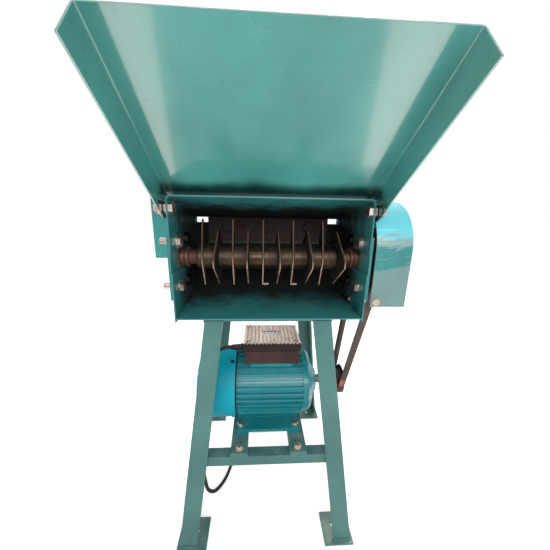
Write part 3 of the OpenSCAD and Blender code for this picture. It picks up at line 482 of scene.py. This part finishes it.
def plated(name, colour, rough, threads_beyond=None):
    """Zinc plating with tarnish in patches; where threads are asked for, ends that stand out sideways have
    them, and the heads deep inside the box get painted shade."""
    f = Finish(name, Metallic=1.0)
    t = f.tree
    m = f.place("mottle", Patch_Scale=60.0, Grain_Scale=900.0)
    e = f.place("worn_edges", Radius=0.0006, Amount=0.8, Break_Scale=300.0)
    f.base = mix(t, m["Patch"], tinted(colour, 0.82), tinted(colour, 1.12))
    f.over(m["Speck"], ZINC_RUST, 0.6)
    f.over(e["Rim"], ZINC_RIM, 0.4)
    height, strength, depth = m["Grain"], 0.08, 0.0002
    if threads_beyond:
        spot = axes(t, f.vector)
        sideways = math_node(t, "ABSOLUTE", spot["X"])
        # Painted shade on the heads deep inside the box.
        deep = ramp(t, spot["Y"], at(0, 48, 0).y, at(0, 70, 0).y)
        deep = times(t, deep, ramp(t, spot["Z"], 0.45, 0.5))
        f.over(times(t, ramp(t, sideways, 0.1495, 0.1480), deep), BOLT_SHADE, 0.93)
        outside = ramp(t, sideways, threads_beyond, threads_beyond + 0.0004)
        threads = bands(t, f.vector, "X", 2 * math.pi / 20 / THREAD_PITCH)
        height = plus(t, times(t, height, 0.1), times(t, outside, threads))
        strength, depth = 0.8, 0.0006
    return f.done(plus(t, times(t, m["Patch"], 0.16), rough), height, strength, depth, 0.0005)


def brown_steel(name, colour, rust, rough, metallic, ring_scale=0.0, rim_highlight=0.0):
    """Bare steel that has browned: rust in patches, turned rings along X, rims with a painted highlight."""
    f = Finish(name, Specular_IOR_Level=0.3)
    t = f.tree
    m = f.place("mottle", Patch_Scale=28.0, Grain_Scale=600.0)
    patch = m["Patch"]
    f.base = mix(t, patch, colour, rust)
    f.over(m["Speck"], tinted(rust, 0.35), 0.7)
    height = plus(t, m["Grain"], times(t, patch, 0.6))
    metal = minus(t, metallic, times(t, patch, 0.45))
    roughness = plus(t, times(t, patch, 0.25), rough)
    if ring_scale:
        rings = bands(t, f.vector, "X", ring_scale, 0.6)
        f.over(rings, tinted(colour, 2.4, 0.02), 0.55)
        height = plus(t, height, times(t, rings, 1.5))
    if rim_highlight:
        # the ground rims of a blade don't look along the shaft; they get a painted highlight, strongest on
        # their lower halves
        rim = ramp(t, math_node(t, "ABSOLUTE", facing(t)["X"]), 0.7, 0.3)
        lit_lower = ramp(t, axes(t, f.vector)["Z"], BOX_MIDDLE.z + 0.005, BOX_MIDDLE.z - 0.03)
        rim = times(t, times(t, rim, plus(t, times(t, lit_lower, 0.84), 0.16)), rim_highlight)
        f.over(rim, RIM_HIGHLIGHT)
        metal = plus(t, metal, rim, True)
        roughness = minus(t, roughness, times(t, rim, 0.22), True)
    f.feed("Metallic", metal)
    return f.done(roughness, height, 0.25, 0.0003, 0.0005)


def moulded(name, colour, gloss, dust, dust_and_light_colour=PLASTIC_DUST, dust_and_light_above=None):
    """Moulded plastic with a fine grain and dust on what faces up; above a height, pale caked dust with
    painted light covers all but the front."""
    f = Finish(name, Specular_IOR_Level=0.25)
    t = f.tree
    m = f.place("mottle", Patch_Scale=18.0, Grain_Scale=1100.0)
    e = f.place("worn_edges", Radius=0.0008, Amount=0.6)
    dust_and_light = f.place("settled_dust", Amount=dust)["Mask"]
    f.base = mix(t, m["Patch"], tinted(colour, 0.8), tinted(colour, 1.3))
    f.over(e["Rim"], tinted(colour, 2.2, 0.02), 0.35)
    # Above the height, caked dust and painted light.
    if dust_and_light_above is not None:
        caked_and_lit = times(t, ramp(t, axes(t, f.vector)["Z"], dust_and_light_above - 0.0006, dust_and_light_above),
                      ramp(t, facing(t)["Y"], -0.8, -0.5))
        thin = plus(t, times(t, m["Patch"], 0.22), 0.76)
        dust_and_light = math_node(t, "MAXIMUM", dust_and_light, times(t, caked_and_lit, thin))
    f.over(dust_and_light, dust_and_light_colour)
    rough = plus(t, times(t, m["Patch"], 0.1), gloss)
    return f.done(plus(t, rough, times(t, dust_and_light, 0.3), True), m["Grain"], 0.15, 0.0002, 0.0006)


def rubber(name, colour, weave=0.0, red_at=None):
    """Rubber, with a woven cover on the belt and a rubbed red patch on it."""
    f = Finish(name, Specular_IOR_Level=0.35)
    t = f.tree
    m = f.place("mottle", Patch_Scale=30.0, Grain_Scale=800.0)
    f.base = mix(t, m["Patch"], tinted(colour, 0.75), tinted(colour, 1.5))
    f.over(m["Scuff"], tinted(colour, 2.0, 0.03), 0.5)
    height = m["Grain"]
    if weave:
        height = plus(t, height, bands(t, f.vector, "DIAGONAL", weave))
    if red_at is not None:
        f.over(ramp(t, vector_math(t, "DISTANCE", f.vector, red_at), 0.022, 0.008), BELT_RED, 0.9)
    return f.done(plus(t, times(t, m["Patch"], 0.15), 0.5), height, 0.2, 0.0003)


MATERIALS = {}


def shade_in(middle, unshaded_y, shaded_y, amount):
    """Painted shade round a middle, from an unshaded place to a shaded one in the drawing's Y."""
    return middle, at(0, unshaded_y, 0).y, at(0, shaded_y, 0).y, amount


def build_materials():
    c = colours()
    GROUPS.update(worn_edges=build_edge_group(), mottle=build_mottle_group(), settled_dust=build_dust_group(),
                  inside_soot=build_inside_group())
    MATERIALS.update(
        # The box, its floor and its rear wall get painted shade inside, darker towards the back.
        box=enamel("box_enamel", c.box, 0.28, 0.3, 0.35, 0.10, soot=shade_in(BOX_MIDDLE, -15, 110, 0.97)),
        pan=enamel("pan_enamel", tinted(c.box, 1.1), 0.3, 0.3, 0.4, 0.06,
                   soot=shade_in(BOX_MIDDLE, 15, 165, 0.94)),
        # The rear wall's paint is a darker copy of the box's, painted shade, under the painted shade inside.
        bulkhead=enamel("bulkhead_enamel", tinted(c.box, 0.6), 0.4, 0.1, 0.3, 0.05,
                        soot=shade_in(BOX_MIDDLE, 60, 130, 0.99)),
        # The tray's paint is lighter than the box's, partly paler dust and partly painted light from the
        # front; its floor gets dark brown painted shade towards the box.
        tray=enamel("tray_enamel", tinted(c.box, 1.3, 0.03), 0.5, 0.05, 0.5, 0.10,
                    soot=shade_in(TRAY_MIDDLE, 560, 430, 0.92), shade_colour=TRAY_SHADE, floor_only=True,
                    specular=0.0),
        bearing=enamel("bearing_enamel", c.box, 0.3, 0.3, 0.35, 0.1),
        hood=enamel("hood_enamel", c.hood, 0.14, 0.8, 0.3, 0.05, shade_reach=0.038),
        stand=enamel("stand_enamel", c.stand, 0.32, 0.25, 0.4, 0.3),
        # The guard's colours are painted reflections: bright cyan sky above, grey-teal ground below and a
        # dark teal band between.
        guard=reflection_banded("guard_enamel", c.guard, (0.19, 0.27, 0.25), (0.035, 0.21, 0.20), at(0, 0, 590).z,
                       at(0, 0, 650).z),
        motor=enamel("motor_enamel", c.motor, 0.30, 0.25, 0.3, 0.06),
        cowl=enamel("cowl_enamel", (c.motor[0] * 0.5, c.motor[1] * 1.5, c.motor[2] * 1.7), 0.42, 0.03, 0.2,
                    0.0, specular=0.25),
        shadowed=enamel("shadowed_enamel", tinted(c.motor, 0.10), 0.6, 0.0, 0.2, 0.0),
        pulley=brown_steel("pulley_iron", (0.030, 0.026, 0.024), (0.060, 0.034, 0.024), 0.5, 0.6, 60.0),
        zinc=plated("zinc_plate", c.zinc, 0.3, THREADS_FROM),
        # The counter plate's dark brown steel is darkened to near black, painted shade inside the box.
        dark_steel=brown_steel("counter_steel", (0.022, 0.013, 0.015), (0.034, 0.017, 0.016), 0.6, 0.2),
        black_bolt=brown_steel("black_bolt_steel", (0.003, 0.002, 0.002), (0.008, 0.004, 0.003), 0.4, 0.3),
        # The knives' steel is a much darker copy of the rotor steel, painted shade, and their rims get a
        # painted highlight.
        blade=brown_steel("blade_steel", tinted(c.steel, 0.09), (0.016, 0.008, 0.006), 0.6, 0.3, 0.0, 0.75),
        spacer=brown_steel("spacer_steel", tinted(c.steel, 0.44), (0.040, 0.031, 0.020), 0.27, 0.9, 160.0),
        shaft=brown_steel("shaft_steel", (0.10, 0.050, 0.034), (0.075, 0.030, 0.018), 0.36, 0.85, 90.0),
        collar=brown_steel("collar_steel", (0.12, 0.062, 0.042), (0.05, 0.024, 0.016), 0.34, 0.9, 40.0),
        race=brown_steel("bearing_steel", (0.42, 0.38, 0.34), (0.18, 0.12, 0.09), 0.25, 0.95, 50.0),
        turned=brown_steel("turned_steel", (0.40, 0.37, 0.34), (0.20, 0.14, 0.10), 0.22, 0.95),
        plastic=moulded("terminal_plastic", c.plastic, 0.24, 0.08),
        skirt=moulded("skirt_plastic", tinted(c.plastic, 0.5), 0.3, 0.05),
        # The lid's dust colour is brightened to near white: caked dust with painted light on the lid's top.
        lid=moulded("lid_plastic", tinted(c.plastic, 0.5), 0.3, 3.0, (0.98, 0.79, 0.71), LID_RIBS_FROM),
        gland=moulded("gland_plastic", (0.02, 0.02, 0.02), 0.4, 0.1),
        plate=moulded("bare_plate", (0.72, 0.71, 0.74), 0.4, 0.0),
        pin=plated("pin_nickel", (0.70, 0.66, 0.60), 0.18),
        weld=enamel("weld_enamel", tinted(c.stand, 0.9), 0.4, 0.2, 0.6, 0.2, 0.3),
        belt=rubber("belt_rubber", c.belt, 260.0, BELT_PATCH),
        lead=rubber("lead_rubber", (0.022, 0.020, 0.020)),
    )


NODE_FINISH = {
    "box": ["box_shell"],
    "pan": ["floor_plate"],
    "bulkhead": ["rear_wall"],
    "tray": ["feed_tray", "tray_cover"],
    "bearing": ["bearing_plate_left", "bearing_plate_right"],
    "hood": ["hood"],
    "stand": ["leg_front_left", "leg_front_right", "leg_rear_left", "leg_rear_right", "top_side_bars",
              "top_cross_bars", "front_cross_bar", "rear_cross_bar", "motor_rails", "foot_plates",
              "tray_posts"],
    "guard": ["belt_guard", "guard_bracket"],
    "motor": ["motor_frame", "drive_end_shield"],
    "shadowed": ["fan_end_shield"],
    "cowl": ["fan_cowl"],
    "pulley": ["rotor_pulley", "motor_pulley"],
    "zinc": ["bearing_bolts", "bearing_nuts", "hinge_bolts", "hinge_nuts", "guard_bolts", "motor_bolts",
             "motor_nuts", "lid_screws", "lead_clips"],
    "dark_steel": ["counter_plate"],
    "black_bolt": ["counter_bolts"],
    "blade": ["knife_blades", "cross_blades"],
    "spacer": ["blade_spacers"],
    "shaft": ["rotor_shaft"],
    "collar": ["shaft_collars"],
    "race": ["bearing_inner_rings", "bearing_outer_rings"],
    "turned": ["motor_shaft"],
    "plastic": ["terminal_box", "cooling_fan"],
    "lid": ["terminal_lid"],
    "gland": ["cable_gland", "lead_tie", "lead_plug"],
    "belt": ["drive_belt"],
    "lead": ["mains_lead", "lead_coil"],
}


# Meshes


def finish_mesh(bm, name, material, body):
    """Turns a bmesh into a piece that rides on a body."""
    bmesh.ops.remove_doubles(bm, verts=bm.verts, dist=1e-6)
    bmesh.ops.recalc_face_normals(bm, faces=bm.faces)
    mesh = bpy.data.meshes.new(name)
    bm.to_mesh(mesh)
    bm.free()
    piece = bpy.data.objects.new(name, mesh)
    bpy.context.scene.collection.objects.link(piece)
    mesh.materials.append(MATERIALS[material])
    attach(piece, body)
    return piece


def turned(bm, profile, foot, axis, steps):
    """Spins a closed profile of (radius, along) points, in millimetres, round an axis that starts at foot."""
    axis = Vector(axis).normalized()
    out = axis.orthogonal().normalized()
    corners = [bm.verts.new(foot + (out * r + axis * along) * MM) for r, along in profile]
    edges = [bm.edges.new((a, b)) for a, b in zip(corners, corners[1:] + corners[:1])]
    bmesh.ops.spin(bm, geom=corners + edges, cent=foot, axis=axis, angle=2 * math.pi, steps=steps,
                   use_merge=True, use_duplicate=False)
    bmesh.ops.remove_doubles(bm, verts=bm.verts, dist=1e-6)


def washer(bm, foot, axis, bore, outer, thick):
    """A flat washer with eased rims."""
    e = 0.25
    turned(bm, [(bore, 0), (outer - e, 0), (outer, e), (outer, thick - e), (outer - e, thick), (bore, thick)],
           foot, axis, 28)


def ease(bm, edges, offset, segments):
    """Rounds edges off."""
    bmesh.ops.bevel(bm, geom=edges, offset=offset, segments=segments, profile=0.5, affect="EDGES",
                    material=-1)


def hex_head(bm, foot, axis, flats, height):
    """A hexagon head with its corners turned off."""
    axis = Vector(axis)
    stand = Vector((0, 0, 1)).rotation_difference(axis).to_matrix().to_4x4()
    radius = flats / math.sqrt(3) * MM
    made = bmesh.ops.create_cone(
        bm, cap_ends=True, segments=6, radius1=radius, radius2=radius, depth=height * MM,
        matrix=Matrix.Translation(foot + axis * height / 2 * MM) @ stand)
    top = [e for e in {e for v in made["verts"] for e in v.link_edges}
           if all((v.co - foot).dot(axis) > height * 0.9 * MM for v in e.verts)]
    ease(bm, top, 0.12 * flats * MM, 2)


def screw_head(bm, foot, axis, across, height):
    """A round screw head with a crowned top and a slot's hollow."""
    r = across / 2
    turned(bm, [(0, 0), (r, 0), (r, height * 0.45), (r * 0.86, height * 0.82), (r * 0.55, height),
                (r * 0.3, height), (r * 0.22, height * 0.55), (0, height * 0.55)], foot, axis, 20)


def block(bm, middle, size):
    """A plain block round a middle."""
    bmesh.ops.create_cube(bm, size=1.0, matrix=Matrix.Translation(middle) @ Matrix.Diagonal((*size, 1)))


def upright_edges(bm):
    return [e for e in bm.edges if abs((e.verts[0].co - e.verts[1].co).normalized().z) > 0.9]


def weld_bead(bm, start, end):
    """A row of overlapping weld drops from start to end."""
    run = end - start
    drops = max(2, round(run.length / (WELD_R * 1.15 * MM)))
    for i in range(drops + 1):
        wide = WELD_R * (1.0 + 0.16 * math.sin(i * 2.4)) * MM
        size = Matrix.Diagonal((wide, wide, WELD_R * (1.05 - 0.1 * math.cos(i * 1.7)) * MM, 1))
        bmesh.ops.create_icosphere(bm, subdivisions=2, radius=1.0,
                                   matrix=Matrix.Translation(start + run * i / drops) @ size)


def corners_within(box, in_x, in_y):
    """The four places, as x and y, that lie in from the corners of a box by millimetres."""
    low, high = box
    return [(x, y) for x in (low[0] + in_x * MM, high[0] - in_x * MM)
            for y in (low[1] + in_y * MM, high[1] - in_y * MM)]


def outer_corner(box, side, end):
    """The lower corner of a box at one side and one end of the machine."""
    low, high = box
    return Vector((high[0] if side > 0 else low[0], high[1] if end > 0 else low[1], low[2]))


def round_motor(turn):
    """A direction away from the motor's axis."""
    return Vector((0, math.cos(math.radians(turn)), math.sin(math.radians(turn))))


# Pieces


class CUTTER_OT_fasteners(bpy.types.Operator):
    """Puts washers under the bolts and bolts the rails to their cross bars"""

    bl_idname = "cutter.fasteners"
    bl_label = "Washers and rail bolts"

    def execute(self, context):
        bm = bmesh.new()
        for side in (-1, 1):
            for y in BEARING_BOLT_Y:
                for z in BEARING_BOLT_Z:
                    washer(bm, at(side * WALL_X, y, z), (-side, 0, 0), *WASHER_M10)
                    washer(bm, at(side * BEARING_PLATE_X, y, z), (side, 0, 0), *WASHER_M10)
        finish_mesh(bm, "bearing_washers", "zinc", "machine")
        bm = bmesh.new()
        for x, y in corners_within(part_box("motor_bolts"), MOTOR_BOLT_IN, MOTOR_BOLT_IN):
            washer(bm, Vector((x, y, MOTOR_FOOT_TOP * MM)), (0, 0, 1), *WASHER_M8)
        finish_mesh(bm, "motor_washers", "zinc", "machine")
        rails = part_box("motor_rails")
        top = rails[1][2]
        bm = bmesh.new()
        for x, y in corners_within(rails, RAIL_W / 2, RAIL_BOLT_IN):
            washer(bm, Vector((x, y, top)), (0, 0, 1), *WASHER_M8)
            hex_head(bm, Vector((x, y, top + RAIL_HEAD_UP * MM)), (0, 0, 1), *RAIL_HEAD)
        finish_mesh(bm, "rail_bolts", "zinc", "machine")
        return {"FINISHED"}


class CUTTER_OT_motor_trim(bpy.types.Operator):
    """Adds the cowl's screws, the end shield's bolts and the plate, skirt and panel of the terminal box"""

    bl_idname = "cutter.motor_trim"
    bl_label = "Motor trim"

    def execute(self, context):
        bm = bmesh.new()
        for turn in COWL_SCREW_TURNS:
            out = round_motor(turn)
            foot = MOTOR_AXIS + Vector((COWL_RIM_X, 0, 0)) * MM + out * (COWL_R - COWL_SCREW_IN) * MM
            screw_head(bm, foot, out, *COWL_SCREW)
        finish_mesh(bm, "cowl_screws", "black_bolt", "machine")
        bm = bmesh.new()
        for turn in SHIELD_BOLT_TURNS:
            foot = MOTOR_AXIS + Vector((SHIELD_X, 0, 0)) * MM + round_motor(turn) * SHIELD_BOLT_R * MM
            washer(bm, foot, (1, 0, 0), *SHIELD_BOSS)
            hex_head(bm, foot + Vector((SHIELD_HEAD_UP * MM, 0, 0)), (1, 0, 0), *SHIELD_HEAD)
        finish_mesh(bm, "shield_bolts", "zinc", "machine")
        self.lid_plate()
        self.lid_skirt()
        self.terminal_panel()
        return {"FINISHED"}

    def lid_plate(self):
        """The bare plate with a sunk face and a screw at each corner."""
        bm = bmesh.new()
        block(bm, LID_FIELD, [s * MM for s in LID_PLATE])
        ease(bm, upright_edges(bm), LID_PLATE_CORNER * MM, 4)
        top = [f for f in bm.faces if f.normal.z > 0.9]
        bmesh.ops.inset_region(bm, faces=top, thickness=LID_PLATE_RIM * MM, depth=0.0)
        sunk = list({v for f in top for v in f.verts})
        bmesh.ops.translate(bm, verts=sunk, vec=(0, 0, -LID_PLATE_SUNK * MM))
        for sx in (-1, 1):
            for sy in (-1, 1):
                foot = Vector((sx * LID_SCREW_AT[0], sy * LID_SCREW_AT[1], LID_SCREW_UP)) * MM
                screw_head(bm, LID_FIELD + foot, (0, 0, 1), *LID_SCREW)
        finish_mesh(bm, "lid_plate", "plate", "machine")

    def lid_skirt(self):
        """The lid's skirt, open below."""
        low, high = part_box("terminal_lid")
        bm = bmesh.new()
        middle = ((low[0] + high[0]) / 2, (low[1] + high[1]) / 2, low[2] - SKIRT_H / 2 * MM)
        block(bm, middle, (*(high - low)[:2], SKIRT_H * MM))
        ease(bm, upright_edges(bm), SKIRT_CORNER * MM, 3)
        bmesh.ops.delete(bm, geom=[f for f in bm.faces if abs(f.normal.z) > 0.9], context="FACES_ONLY")
        bmesh.ops.recalc_face_normals(bm, faces=bm.faces)
        bmesh.ops.solidify(bm, geom=list(bm.faces), thickness=SKIRT_WALL * MM)
        finish_mesh(bm, "lid_skirt", "skirt", "machine")

    def terminal_panel(self):
        """The sunk panel on the front of the terminal box."""
        low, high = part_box("terminal_box")
        bm = bmesh.new()
        middle = ((low[0] + high[0]) / 2, low[1] - PANEL_T / 2 * MM, (low[2] + high[2]) / 2 - PANEL_DOWN * MM)
        size = high - low
        block(bm, middle, (size[0] - 2 * PANEL_IN * MM, PANEL_T * MM, size[2] - PANEL_LOWER * MM))
        face = [f for f in bm.faces if f.normal.y < -0.9]
        bmesh.ops.inset_region(bm, faces=face, thickness=PANEL_FRAME * MM, depth=0.0)
        bmesh.ops.inset_region(bm, faces=face, thickness=PANEL_SUNK * MM, depth=-PANEL_SUNK * MM)
        front = low[1] - (PANEL_T - 0.1) * MM
        ease(bm, [e for e in bm.edges if all(v.co.y < front for v in e.verts)], PANEL_EASED * MM, 2)
        finish_mesh(bm, "terminal_panel", "plastic", "machine")


class CUTTER_OT_knives(bpy.types.Operator):
    """Sets the upright knives with their hooked lower arms shorter than the upper ones"""

    bl_idname = "cutter.knives"
    bl_label = "Upright knives"

    def execute(self, context):
        bm = bmesh.new()
        bm.from_mesh(NODES["knife_blades"].data)
        bmesh.ops.remove_doubles(bm, verts=bm.verts, dist=1e-6)
        tips = [v for v in bm.verts if v.co.z < (ROTOR_Z - KNIFE_TIP_FROM) * MM]
        bmesh.ops.translate(bm, verts=tips, vec=(0, 0, KNIFE_TIP_UP * MM))
        knives = finish_mesh(bm, "upright_knives", "blade", "rotor")
        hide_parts("knife_blades")
        return {"FINISHED"}


class CUTTER_OT_spacers(bpy.types.Operator):
    """Turns the finely grooved spacers between the blades and the ring nuts at their ends"""

    bl_idname = "cutter.spacers"
    bl_label = "Spacers"

    def execute(self, context):
        bm = bmesh.new()
        length = BLADE_PITCH - BLADE_T
        groove = length / SPACER_GROOVES
        dip, nut_r = SPACER_R - SPACER_DIP, SPACER_R - 1
        profile = [(SPACER_BORE, 0)]
        for i in range(SPACER_GROOVES):
            profile += [(dip, i * groove), (SPACER_R, (i + 0.3) * groove), (SPACER_R, (i + 0.7) * groove)]
        profile += [(dip, length), (SPACER_BORE, length)]
        first = -BLADE_PITCH * (BLADE_N - 1) / 2
        for i in range(BLADE_N - 1):
            turned(bm, profile, at(first + i * BLADE_PITCH + BLADE_T / 2, ROTOR_Y, ROTOR_Z), (1, 0, 0), 64)
        nut = [(SPACER_BORE, 0), (nut_r - 0.4, 0), (nut_r, 0.4), (nut_r, RING_NUT_W - 0.4),
               (nut_r - 0.4, RING_NUT_W), (SPACER_BORE, RING_NUT_W)]
        for side in (-1, 1):
            turned(bm, nut, at(side * (BLADE_T / 2 - first), ROTOR_Y, ROTOR_Z), (side, 0, 0), 64)
        spacers = finish_mesh(bm, "grooved_spacers", "spacer", "rotor")
        spacers.data.shade_smooth()
        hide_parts("blade_spacers")
        return {"FINISHED"}


class CUTTER_OT_welds(bpy.types.Operator):
    """Lays the weld beads at the tops and feet of the legs"""

    bl_idname = "cutter.welds"
    bl_label = "Welds"

    def execute(self, context):
        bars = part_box("top_side_bars")
        reach = (ANGLE_W - 1) * MM
        bm = bmesh.new()
        for leg, side, end in (("leg_front_left", -1, -1), ("leg_front_right", 1, -1),
                               ("leg_rear_left", -1, 1), ("leg_rear_right", 1, 1)):
            for box in (bars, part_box(leg)):
                corner = outer_corner(box, side, end)
                weld_bead(bm, corner, corner - Vector((side * reach, 0, 0)))
                weld_bead(bm, corner, corner - Vector((0, end * reach, 0)))
        finish_mesh(bm, "leg_welds", "weld", "machine")
        return {"FINISHED"}


class CUTTER_OT_camera(bpy.types.Operator):
    """Sets the camera where the photograph was taken"""

    bl_idname = "cutter.camera"
    bl_label = "Camera"

    def execute(self, context):
        yaw, pitch, roll = CAMERA_YAW, CAMERA_PITCH, CAMERA_ROLL
        ahead = Vector((math.sin(yaw) * math.cos(pitch), math.cos(yaw) * math.cos(pitch), -math.sin(pitch)))
        right = Vector((math.cos(yaw), -math.sin(yaw), 0.0))
        up = right.cross(ahead)
        right, up = (right * math.cos(roll) + up * math.sin(roll),
                     up * math.cos(roll) - right * math.sin(roll))
        data = bpy.data.cameras.new("camera")
        data.sensor_width = 36.0
        data.lens = CAMERA_FOCAL_PX / PICTURE_PX * data.sensor_width
        data.shift_x = PRINCIPAL_LEFT_PX / PICTURE_PX
        data.clip_start = 0.01
        camera = bpy.data.objects.new("camera", data)
        context.scene.collection.objects.link(camera)
        turn = Matrix((right, up, -ahead)).transposed()
        camera.matrix_world = Matrix.Translation(CAMERA_AT) @ turn.to_4x4()
        context.scene.camera = camera
        return {"FINISHED"}


def lead_points():
    """The lead's path from the gland along its route, through the coil, to the plug."""
    route = [Vector(p) for p in LEAD_ROUTE]
    points = []
    for i in range(len(route) - 1):
        a, b, c, d = route[max(i - 1, 0)], route[i], route[i + 1], route[min(i + 2, len(route) - 1)]
        for k in range(4):
            t = k / 4
            points.append(0.5 * (2 * b + (c - a) * t + (2 * a - 5 * b + 4 * c - d) * t * t
                                 + (3 * b - a - 3 * c + d) * t * t * t))
    points.append(route[-1])
    middle = COIL_TURNS / 2
    for i in range(int(COIL_TURNS * COIL_STEPS) + 1):
        t = i / COIL_STEPS
        r = COIL_R - COIL_PITCH * (middle - abs(t - middle))
        s = min(max((t - middle + 0.25) * 2, 0), 1)
        turn = 2 * math.pi * t
        points.append(Vector((COIL_X + r * math.sin(turn), COIL_Y - r * math.cos(turn),
                              COIL_Z + COIL_RISE * s * s * (3 - 2 * s))))
    points.append(points[-1] - Vector((PLUG_TAIL, 0, 0)))
    return [at(*p) for p in points]


class CUTTER_OT_lead(bpy.types.Operator):
    """Lays the mains lead down the leg to its coil and plug"""

    bl_idname = "cutter.lead"
    bl_label = "Mains lead"

    def execute(self, context):
        points = lead_points()
        curve = bpy.data.curves.new("mains_lead_flex", "CURVE")
        curve.dimensions = "3D"
        spline = curve.splines.new("POLY")
        spline.points.add(len(points) - 1)
        for point, place_at in zip(spline.points, points):
            point.co = (*place_at, 1.0)
        curve.bevel_depth = LEAD_D / 2 * MM
        curve.bevel_resolution = 3
        curve.use_fill_caps = True
        flex = bpy.data.objects.new("mains_lead_flex", curve)
        context.scene.collection.objects.link(flex)
        curve.materials.append(MATERIALS["lead"])
        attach(flex, "machine")
        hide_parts("mains_lead", "lead_coil")
        bm = bmesh.new()
        turned(bm, PLUG_PROFILE, PLUG_FOOT, (-1, 0, 0), 40)
        plug = finish_mesh(bm, "plug_body", "gland", "machine")
        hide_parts("lead_plug")
        bm = bmesh.new()
        for y in (-PIN_OUT, PIN_OUT):
            turned(bm, PIN_PROFILE, PLUG_FOOT + Vector((-PIN_FROM, y, 0)) * MM, (-1, 0, 0), 24)
        pins = finish_mesh(bm, "plug_pins", "pin", "machine")
        return {"FINISHED"}


class CUTTER_OT_finishes(bpy.types.Operator):
    """Gives every part of the machine its finish"""

    bl_idname = "cutter.finishes"
    bl_label = "Finishes"

    def execute(self, context):
        build_materials()
        for finish, names in NODE_FINISH.items():
            for name in names:
                slots = NODES[name].data.materials
                slots.clear()
                slots.append(MATERIALS[finish])
        return {"FINISHED"}


# Stage


def area_light(name, place_at, look_at, size, power, colour=(1, 1, 1), spread=180):
    """A soft rectangular lamp that looks at a point, with its spread in degrees."""
    data = bpy.data.lights.new(name, "AREA")
    data.shape = "RECTANGLE"
    data.size, data.size_y = size
    data.energy = power
    data.color = colour
    data.spread = math.radians(spread)
    lamp = bpy.data.objects.new(name, data)
    bpy.context.scene.collection.objects.link(lamp)
    lamp.location = place_at
    lamp.rotation_euler = (Vector(look_at) - Vector(place_at)).to_track_quat("-Z", "Y").to_euler()


def floor_paper():
    """Pale paper that is lifted to white only where the camera sees it."""
    paper = bpy.data.materials.new("floor_paper")
    paper.use_nodes = True
    tree = paper.node_tree
    sockets = tree.nodes["Principled BSDF"].inputs
    sockets["Base Color"].default_value = (FLOOR_GREY, FLOOR_GREY, FLOOR_GREY, 1.0)
    sockets["Roughness"].default_value = 0.9
    sockets["Emission Color"].default_value = (1, 1, 1, 1)
    seen = node(tree, "LightPath", {})["Is Camera Ray"]
    tree.links.new(times(tree, seen, FLOOR_LIFT), sockets["Emission Strength"])
    return paper


def white_surround():
    """A world that lights softly and is white to the camera and in what mirrors it."""
    world = bpy.data.worlds.new("white_surround")
    world.use_nodes = True
    tree = world.node_tree
    surround = tree.nodes["Background"]
    surround.inputs["Color"].default_value = (1, 1, 1, 1)
    surround.inputs["Strength"].default_value = SURROUND
    seen = node(tree, "Background", {"Color": (1, 1, 1, 1), "Strength": 1.0})[0]
    rays = node(tree, "LightPath", {})
    mirrored = math_node(tree, "MAXIMUM", rays["Is Glossy Ray"], rays["Is Transmission Ray"])
    either = math_node(tree, "MAXIMUM", rays["Is Camera Ray"], mirrored)
    choose = node(tree, "MixShader", {0: either, 1: surround.outputs[0], 2: seen})[0]
    tree.links.new(choose, tree.nodes["World Output"].inputs["Surface"])
    return world


class CUTTER_OT_stage(bpy.types.Operator):
    """Sets the pale floor, the white surround and the soft lamps"""

    bl_idname = "cutter.stage"
    bl_label = "Stage"

    def execute(self, context):
        scene = context.scene
        scene.view_settings.view_transform = "Standard"
        bm = bmesh.new()
        bmesh.ops.create_grid(bm, x_segments=1, y_segments=1, size=FLOOR_SIZE)
        mesh = bpy.data.meshes.new("floor")
        bm.to_mesh(mesh)
        bm.free()
        floor = bpy.data.objects.new("floor", mesh)
        scene.collection.objects.link(floor)
        floor.location.z = FLOOR_Z
        mesh.materials.append(floor_paper())
        scene.world = white_surround()
        for lamp in LAMPS:
            area_light(*lamp)
        for left, right in CARDS:
            lamp_at = at((left + right) / 2, CARD_Y, CARD_Z)
            size = ((right - left) * MM, CARD_DEPTH)
            area_light("card", lamp_at, lamp_at + Vector((0, 0, 1)), size, CARD_POWER, ROSE)
        return {"FINISHED"}


class CUTTER_PT_panel(bpy.types.Panel):
    """Shows the machine's steps and its colour and wear settings in the sidebar"""

    bl_label = "Chaff Cutter"
    bl_idname = "CUTTER_PT_panel"
    bl_space_type = "VIEW_3D"
    bl_region_type = "UI"
    bl_category = "Chaff Cutter"

    def draw(self, context):
        for operator in OPERATORS:
            self.layout.operator(operator.bl_idname)
        for settings in (context.scene.cutter_colours, context.scene.cutter_wear):
            for label in settings.bl_rna.properties.keys():
                if label not in ("rna_type", "name"):
                    self.layout.prop(settings, label)


OPERATORS = [CUTTER_OT_finishes, CUTTER_OT_camera, CUTTER_OT_lead, CUTTER_OT_fasteners, CUTTER_OT_motor_trim,
             CUTTER_OT_knives, CUTTER_OT_spacers, CUTTER_OT_welds, CUTTER_OT_stage]
CLASSES = [FinishColours, FinishWear, *OPERATORS, CUTTER_PT_panel]


def register():
    for cls in CLASSES:
        bpy.utils.register_class(cls)
    bpy.types.Scene.cutter_colours = PointerProperty(type=FinishColours)
    bpy.types.Scene.cutter_wear = PointerProperty(type=FinishWear)


def unregister():
    del bpy.types.Scene.cutter_colours, bpy.types.Scene.cutter_wear
    for cls in reversed(CLASSES):
        bpy.utils.unregister_class(cls)


def main():
    register()
    for operator in OPERATORS:
        group, name = operator.bl_idname.split(".")
        getattr(getattr(bpy.ops, group), name)()
    bpy.context.view_layer.update()


if __name__ == "__main__":
    main()
